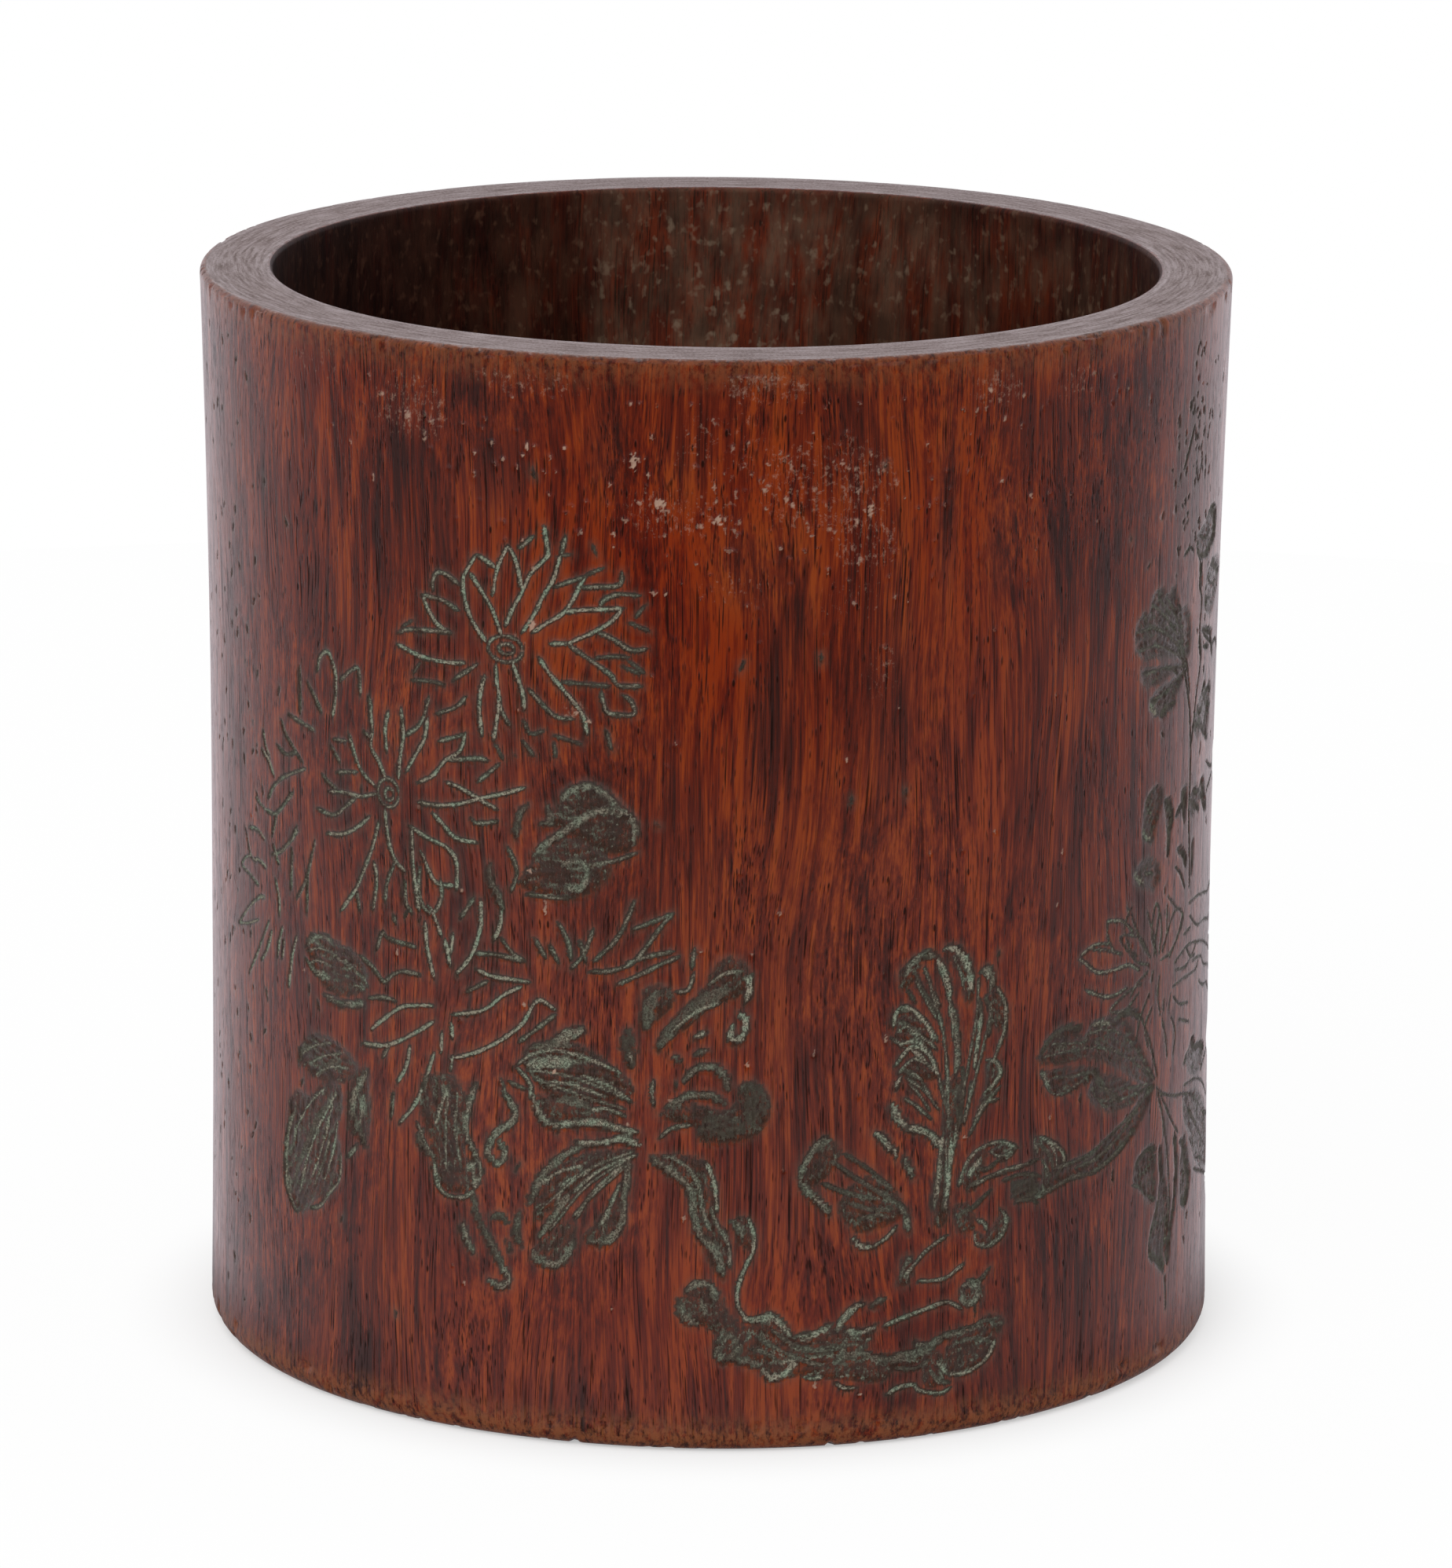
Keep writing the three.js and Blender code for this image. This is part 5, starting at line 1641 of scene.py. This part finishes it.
def grain(nodes, tone_and_light):
    """Colour of the rosewood: streaks of four widths along the grain, dark hairlines and open pores.

    Also gives how light its streaks are, and where the hairlines and pores lie."""
    # The tone lightens and warms the wood, partly as painted light
    mixed = nodes.times(nodes.math("MINIMUM", tone_and_light, 0.35), 0.11)
    straight_grain = nodes.ramp(nodes.noise(24, 46, 2, 0.5), [(0.40, 0.0), (0.54, 1.0)])
    fibre = nodes.mix(straight_grain, nodes.noise(0.42, 3.4, 3, 0.75), nodes.noise(0.46, 17, 3, 0.70))
    figure = nodes.mix(
        straight_grain, nodes.noise(3.0, 6.0, 3, 0.62, 0.8), nodes.noise(3.6, 34, 3, 0.60, 0.5))
    for share, noise in ((0.32, fibre), (0.30, nodes.noise(1.3, 30, 3, 0.62, 0.5)), (0.24, figure),
                         (0.14, nodes.noise(11, 42, 2, 0.5, 0.4))):
        mixed = nodes.plus(mixed, nodes.times(noise, share))
    colour = nodes.ramp(
        mixed, [(0.41, WOOD_DARK), (0.47, WOOD_DEEP), (0.515, WOOD_RED), (0.58, WOOD_ORANGE)])
    warm = nodes.mix(1.0, colour, WARMTH_AND_GLOW, "MULTIPLY")
    colour = nodes.mix(nodes.times(tone_and_light, 1.5, clamp=True), colour, warm)
    hair = nodes.ramp(nodes.noise(0.27, 24, 1, 0.5, 0.1), [(0.34, 1.0), (0.43, 0.0)])
    together = nodes.ramp(nodes.noise(5, 26, 2, 0.6), [(0.42, 0.25), (0.58, 0.85)])
    pores = nodes.ramp(nodes.spots(0.5, 3.4), [(0.14, 1.0), (0.30, 0.0)])
    crowded = nodes.ramp(nodes.noise(3.5, 9, 2, 0.6), [(0.42, 0.30), (0.60, 1.0)])
    pores = nodes.times(pores, crowded)
    pits = nodes.ramp(nodes.spots(2.6, 8), [(0.055, 1.0), (0.10, 0.0)])
    pores = nodes.greater(pores, pits)
    lines = nodes.greater(nodes.times(hair, together), nodes.times(pores, 0.88))
    return nodes.mix(lines, colour, PORE), mixed, lines


def inside_colour(nodes, colour, tone_and_light):
    """In the well the wood is duller, filmed over and speckled, and a painted shade changes on the way
    round, darkest at the left.
    """
    specks = nodes.ramp(nodes.noise(1.5, 2.0, 2, 0.5), [(0.58, 0.0), (0.74, 1.0)])
    film = nodes.ramp(nodes.noise(4, 14, 4, 0.65), [(0.40, 0.15), (0.60, 0.80)])
    smoke = nodes.ramp(nodes.noise(6, 9, 3, 0.6), [(0.38, 0.45), (0.58, 0.0)])
    inside = nodes.mix(film, colour, INSIDE_FILM)
    inside = nodes.mix(smoke, inside, DIRT_AND_SHADE)
    inside = nodes.mix(nodes.times(specks, 0.50), inside, INSIDE_SPECK)
    # Painted light and shade: the well darkens by place, most at the left and least at the back
    shade = nodes.map_range(tone_and_light, -1.0, 1.0)
    return nodes.mix(1.0, inside, nodes.ramp(shade, INSIDE_PAINTED_SHADES), "MULTIPLY")


def dusty_sheened_rim(nodes, colour, rim):
    """The top of the rim is dry and dusty, with a painted sheen, growth rings and a fine grit, which it
    gives as well.
    """
    rings = nodes.noise_at(nodes.ring_place(0.55, 9), 3, 0.65)
    grit = nodes.noise_at(nodes.ring_place(0.5, 0.5), 2, 0.6)
    dusty = nodes.plus(nodes.times(rings, 0.65), nodes.times(grit, 0.35))
    dust = nodes.ramp(dusty, [(0.40, DUST_BROWN), (0.50, DUST_AND_SHEEN), (0.60, DUST_PALE_AND_SHEEN)])
    ragged = nodes.times(nodes.noise_at(nodes.ring_place(1.6, 2.4), 3, 0.7), 0.9)
    dustiness = nodes.ramp(nodes.plus(rim, ragged), [(0.80, 0.0), (1.22, 0.94)])
    return nodes.mix(dustiness, nodes.mix(rim, colour, DUST_BROWN), dust), dusty


def worn_edges(nodes, colour, edge):
    """Edges are grimy in some places and rubbed to a paler brown in others."""
    grime = nodes.ramp(nodes.noise(1.6, 2.2, 3, 0.75), [(0.46, 0.0), (0.60, 0.75)])
    colour = nodes.mix(nodes.times(edge, grime), colour, DIRT_AND_SHADE)
    rubbed = nodes.ramp(nodes.noise(1.0, 1.6, 3, 0.7), [(0.38, 0.0), (0.56, 1.0)])
    return nodes.mix(nodes.times(nodes.times(edge, rubbed), 0.8), colour, RUBBED_WOOD)


def coloured_carving(nodes, colour, stain, pale):
    """Dirt and painted shade along the carving, then the pigment, broken where it has worn away and greener
    in places.

    Also gives where the dirt, the painted shade and the pigment lie, and the pigment's flecks."""
    around = nodes.ramp(stain, [(0.12, 0.0), (0.30, 0.66), (0.60, 1.0)])
    smear = nodes.ramp(nodes.noise(0.9, 1.4, 3, 0.65), [(0.38, 0.45), (0.56, 1.0)])
    wash = nodes.ramp(stain, [(0.0, 0.0), (0.13, 0.34), (0.30, 0.50)])
    colour = nodes.mix(nodes.times(wash, smear), colour, PIGMENT_MIDDLE)
    # Dirt and painted shade darken the seams along the carving
    colour = nodes.mix(nodes.times(around, smear), colour, DIRT_AND_SHADE)
    broken = nodes.noise(0.45, 0.9, 3, 0.75)
    patchy = nodes.noise(2.4, 2.4, 3, 0.6)
    cover = nodes.plus(stain, nodes.times(nodes.minus(broken, 0.5), 1.5))
    cover = nodes.plus(cover, nodes.minus(patchy, 0.5))
    cover = nodes.ramp(cover, [(0.46, 0.0), (0.66, 1.0)])
    flecks = nodes.noise(0.33, 0.33, 3, 0.8)
    light = nodes.times(pale, nodes.ramp(flecks, [(0.40, 0.14), (0.56, 1.0)]))
    light = nodes.times(light, 1.45)
    brown = nodes.ramp(light, [(0.08, PIGMENT_DARK), (0.36, PIGMENT_MIDDLE), (0.85, PIGMENT_PALE)])
    green = nodes.ramp(light, [(0.08, GREEN_DARK), (0.85, GREEN_PALE)])
    greener = nodes.ramp(patchy, [(0.42, 0.05), (0.62, 0.62)])
    greener = nodes.times(greener, nodes.ramp(pale, [(0.2, 0.45), (0.9, 1.0)]))
    pigment = nodes.mix(greener, brown, green)
    return nodes.mix(nodes.times(cover, 0.94), colour, pigment), around, cover, flecks


def carved_hardwood():
    """The wall's wood: worn and waxed outside, darker inside, with green in the carving."""
    material, nodes = new_material("carved_hardwood")
    stain, pale, bare, tone_and_light, inner, edge, rim = (nodes.attribute(name) for name in POINT_VALUES)
    colour, mixed, pores = grain(nodes, tone_and_light)
    colour = nodes.mix(inner, colour, inside_colour(nodes, colour, tone_and_light))
    colour, dusty = dusty_sheened_rim(nodes, colour, rim)
    colour = worn_edges(nodes, colour, edge)
    colour, around, cover, flecks = coloured_carving(nodes, colour, stain, pale)
    # Painted haze: pale flecks of a highlight spread over the bare and scuffed places
    painted_haze = nodes.noise(0.8, 1.1, 4, 0.75)
    scuffed_and_highlit = nodes.plus(bare, nodes.times(nodes.minus(painted_haze, 0.5), 1.2))
    scuffed_and_highlit = nodes.ramp(scuffed_and_highlit, [(0.30, 0.0), (0.46, 0.35), (0.80, 1.0)])
    colour = nodes.mix(scuffed_and_highlit, colour, BARE_WOOD_AND_HIGHLIGHT)

    waxed = nodes.ramp(mixed, [(0.40, 0.30), (0.60, 0.19)])
    dry = nodes.greater(nodes.greater(cover, rim), inner)
    roughness = nodes.mix(dry, waxed, ROUGH_DRY)
    height = nodes.minus(nodes.times(mixed, 0.6), pores)
    height = nodes.plus(height, nodes.times(nodes.times(flecks, stain), 1.6))
    height = nodes.plus(height, nodes.times(nodes.times(dusty, rim), 2.0))
    dull = nodes.greater(pores, nodes.times(around, 0.24))
    dull = nodes.greater(dull, nodes.times(tone_and_light, 0.7, clamp=True))
    dull = nodes.greater(dull, nodes.times(inner, 0.7))
    specular = nodes.minus(SPECULAR, nodes.times(dull, SPECULAR_LOST))
    nodes.put(nodes.shader.inputs["Base Color"], colour)
    nodes.put(nodes.shader.inputs["Roughness"], roughness)
    nodes.put(nodes.shader.inputs["Normal"], nodes.bump(height, 0.06))
    nodes.put(nodes.shader.inputs["IOR"], WAX_IOR)
    nodes.put(nodes.shader.inputs["Specular IOR Level"], specular)
    return material


def plain_hardwood(name, dustiness, roughness):
    """Dry end grain of the same tree, for the base board and its plug."""
    material, nodes = new_material(name)
    colour, mixed, pores = grain(nodes, 0.0)
    wave = {"Vector": nodes.place(), "Scale": 70.0, "Distortion": 3.0, "Detail": 3.0, "Detail Scale": 1.5}
    rings = nodes.add("ShaderNodeTexWave", wave, output="Fac", wave_type="RINGS", rings_direction="Z")
    colour = nodes.mix(nodes.times(rings, 0.35), colour, WOOD_DARK)
    colour = nodes.mix(dustiness, colour, DUST_AND_SHEEN)
    nodes.put(nodes.shader.inputs["Base Color"], colour)
    nodes.put(nodes.shader.inputs["Roughness"], roughness)
    nodes.put(nodes.shader.inputs["Normal"], nodes.bump(nodes.minus(mixed, pores), 0.08))
    return material


# The camera, fitted to the outline in the photograph, in metres and degrees
CAMERA_BACK = 1.4195
CAMERA_HEIGHT = 0.43598
CAMERA_DOWN = 13.69447
CAMERA_ASIDE = 0.09303
CAMERA_ROLL = 0.46833
FOCAL_PIXELS = 11124.1
IMAGE_HEIGHT = 1996
SENSOR = 36


def make_camera():
    """The camera looks ahead and down, a little to one side and rolled."""
    data = bpy.data.cameras.new("camera")
    data.sensor_width = SENSOR
    data.lens = FOCAL_PIXELS / IMAGE_HEIGHT * SENSOR
    data.clip_start = 0.05
    data.clip_end = 20
    camera = bpy.data.objects.new("camera", data)
    bpy.context.scene.collection.objects.link(camera)
    aside, down, roll = (math.radians(angle) for angle in (CAMERA_ASIDE, CAMERA_DOWN, CAMERA_ROLL))
    ahead = Vector((math.sin(aside) * math.cos(down), math.cos(aside) * math.cos(down), -math.sin(down)))
    level = ahead.cross(Vector((0, 0, 1))).normalized()
    upright = level.cross(ahead)
    right = level * math.cos(roll) + upright * math.sin(roll)
    up = upright * math.cos(roll) - level * math.sin(roll)
    turned = Matrix((right, up, -ahead)).transposed()
    camera.matrix_world = Matrix.Translation((0, -CAMERA_BACK, CAMERA_HEIGHT)) @ turned.to_4x4()
    bpy.context.scene.camera = camera


# The lights and the floor: places in metres from the middle of the pot's foot, power in watts
KEY_PLACE = (-0.5, -1.5, 1.7)
KEY_TARGET = (0, 0, 0.09)
KEY_SIZE = 1.4
KEY_POWER = 20
SOFT_LIGHT = 0.80
WHITE = (1, 1, 1, 1)
FLOOR_WHITE = (0.92, 0.92, 0.92, 1)
FLOOR_RADIUS = 0.62
FLOOR_SIDES = 96
# To the camera the floor turns white between these distances, up to this share
WHITE_START = 0.062
WHITE_END = 0.102
WHITE_SHARE = 0.94
# In the polished wood the floor holds a painted shadow, darkest at the foot, and is as bright as the table
# from this distance on
CONTACT_SHADOW_RADIUS = 0.106
CONTACT_SHADOW_LEVEL = 0.25

# What the polished wood mirrors, by how far round to the back it lies: the room, which is dark in front
# and brightest behind, and the white table, whose edges lie this far ahead, aside and behind in metres.
ROOM_LEFT = [(0.05, 0.0), (0.18, 0.08), (0.38, 0.20), (0.61, 0.52), (0.81, 0.86), (0.94, 1.0)]
ROOM_RIGHT = [(0.10, 0.0), (0.27, 0.09), (0.49, 0.33), (0.71, 0.54), (0.89, 1.0)]
TABLE_LEFT = [(0.03, 0.60), (0.18, 0.68), (0.38, 0.60), (0.61, 0.70), (0.81, 0.79), (0.94, 1.0)]
TABLE_RIGHT = [(0.03, 0.55), (0.10, 0.46), (0.27, 0.48), (0.49, 0.52), (0.71, 0.60), (0.89, 0.85)]
MIRROR_COLOUR = (1.0, 0.940, 1.0, 1)
# Left and right blend where a direction leans aside by less than this
SIDE_BLEND = 0.25
EDGE_FRONT = -0.40
EDGE_SIDE = 0.50
EDGE_BACK = 0.27
EDGE_SOFTNESS = 0.06


def make_key_light():
    data = bpy.data.lights.new("key", "AREA")
    data.shape = "DISK"
    data.size = KEY_SIZE
    data.energy = KEY_POWER
    light = bpy.data.objects.new("key", data)
    bpy.context.scene.collection.objects.link(light)
    light.location = KEY_PLACE
    light.visible_glossy = False
    light.rotation_euler = (Vector(KEY_TARGET) - Vector(KEY_PLACE)).to_track_quat("-Z", "Y").to_euler()


def mirrored(nodes, direction, left_side, right_side):
    """Brightness of the surroundings in a direction, for reflections only."""
    parts = nodes.split(direction)
    back = nodes.map_range(parts["Y"], -1.0, 1.0)
    side = nodes.map_range(parts["X"], -SIDE_BLEND, SIDE_BLEND)
    return nodes.mix(side, nodes.ramp(back, left_side), nodes.ramp(back, right_side))


def make_world():
    """White to the camera, soft light on the pot, and a studio with a dark front in its reflections."""
    world = bpy.data.worlds.new("studio")
    bpy.context.scene.world = world
    world.use_nodes = True
    world.node_tree.nodes.clear()
    nodes = Nodes(world.node_tree)
    direction = nodes.add("ShaderNodeTexCoord", {})
    rays = nodes.add("ShaderNodeLightPath", {}).node.outputs
    level = mirrored(nodes, direction, ROOM_LEFT, ROOM_RIGHT)
    room = nodes.add("ShaderNodeBackground", {"Color": MIRROR_COLOUR, "Strength": level})
    soft = nodes.add("ShaderNodeBackground", {"Color": WHITE, "Strength": SOFT_LIGHT})
    white = nodes.add("ShaderNodeBackground", {"Color": WHITE, "Strength": 1.0})
    lit = nodes.mix_shader(rays["Is Glossy Ray"], soft, room)
    clear = nodes.greater(rays["Is Camera Ray"], rays["Is Transmission Ray"])
    seen = nodes.mix_shader(clear, lit, white)
    nodes.add("ShaderNodeOutputWorld", {0: seen}, output=None)


def table_level(nodes, place, away):
    """Brightness of the floor in the polished wood: a table with soft edges, with a painted shadow darkest
    under the foot.
    """
    incoming = nodes.add("ShaderNodeNewGeometry", {}, output="Incoming")
    onward = nodes.add("ShaderNodeVectorMath", {0: incoming, 3: -1.0}, operation="SCALE")
    parts = nodes.split(place)
    aside = nodes.math("ABSOLUTE", parts["X"])
    on_table = 1.0
    for value, edge, inwards in ((parts["Y"], EDGE_FRONT, 1), (aside, EDGE_SIDE, -1),
                                 (parts["Y"], EDGE_BACK, -1)):
        reach = inwards * EDGE_SOFTNESS
        on_table = nodes.times(nodes.map_range(value, edge - reach, edge + reach), on_table)
    room = mirrored(nodes, onward, ROOM_LEFT, ROOM_RIGHT)
    table = mirrored(nodes, onward, TABLE_LEFT, TABLE_RIGHT)
    contact_shadow = nodes.map_range(away, FOOT_RADIUS * MM, CONTACT_SHADOW_RADIUS, CONTACT_SHADOW_LEVEL, 1.0)
    return nodes.times(nodes.mix(on_table, room, table), contact_shadow)


def white_floor():
    """To the camera the floor is shaded near the pot, and white farther off."""
    material, nodes = new_material("floor_white")
    nodes.put(nodes.shader.inputs["Base Color"], FLOOR_WHITE)
    nodes.put(nodes.shader.inputs["Roughness"], 0.9)
    nodes.put(nodes.shader.inputs["Specular IOR Level"], 0.0)
    place = nodes.place()
    away = nodes.length(place)
    rays = nodes.add("ShaderNodeLightPath", {}).node.outputs
    fade = nodes.map_range(
        away, WHITE_START, WHITE_END, 0.0, WHITE_SHARE, interpolation_type="SMOOTHSTEP")
    white = nodes.add("ShaderNodeEmission", {"Color": WHITE, "Strength": 1.0})
    shown = nodes.mix_shader(nodes.times(fade, rays["Is Camera Ray"]), nodes.shader.outputs[0], white)
    level = table_level(nodes, place, away)
    reflected = nodes.add("ShaderNodeEmission", {"Color": MIRROR_COLOUR, "Strength": level})
    result = nodes.mix_shader(rays["Is Glossy Ray"], shown, reflected)
    nodes.tree.links.new(result, nodes.tree.nodes["Material Output"].inputs["Surface"])
    return material


def make_floor():
    """A round white floor that holds the pot's shadow, and fades into the white background."""
    mesh = bpy.data.meshes.new("floor")
    turn = np.linspace(0, 2 * math.pi, FLOOR_SIDES, endpoint=False)
    rim = np.stack([FLOOR_RADIUS * np.cos(turn), FLOOR_RADIUS * np.sin(turn), 0 * turn], 1)
    mesh.from_pydata(rim.tolist(), [], [list(range(FLOOR_SIDES))])
    mesh.materials.append(white_floor())
    floor = bpy.data.objects.new("floor", mesh)
    bpy.context.scene.collection.objects.link(floor)
    return floor


def wear(node, material):
    """Give a carried-over solid its material."""
    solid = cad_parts[node]
    solid.data.materials.clear()
    solid.data.materials.append(material)


make_camera()
make_world()
make_key_light()
make_floor()

wall = make_wall()
wall.data.materials.append(carved_hardwood())
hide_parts("wall")
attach(wall, "root")
wear("base_board", plain_hardwood("base_hardwood", 0.25, 0.6))
wear("base_plug", plain_hardwood("plug_hardwood", 0.15, 0.5))

bpy.context.scene.view_settings.view_transform = "Standard"
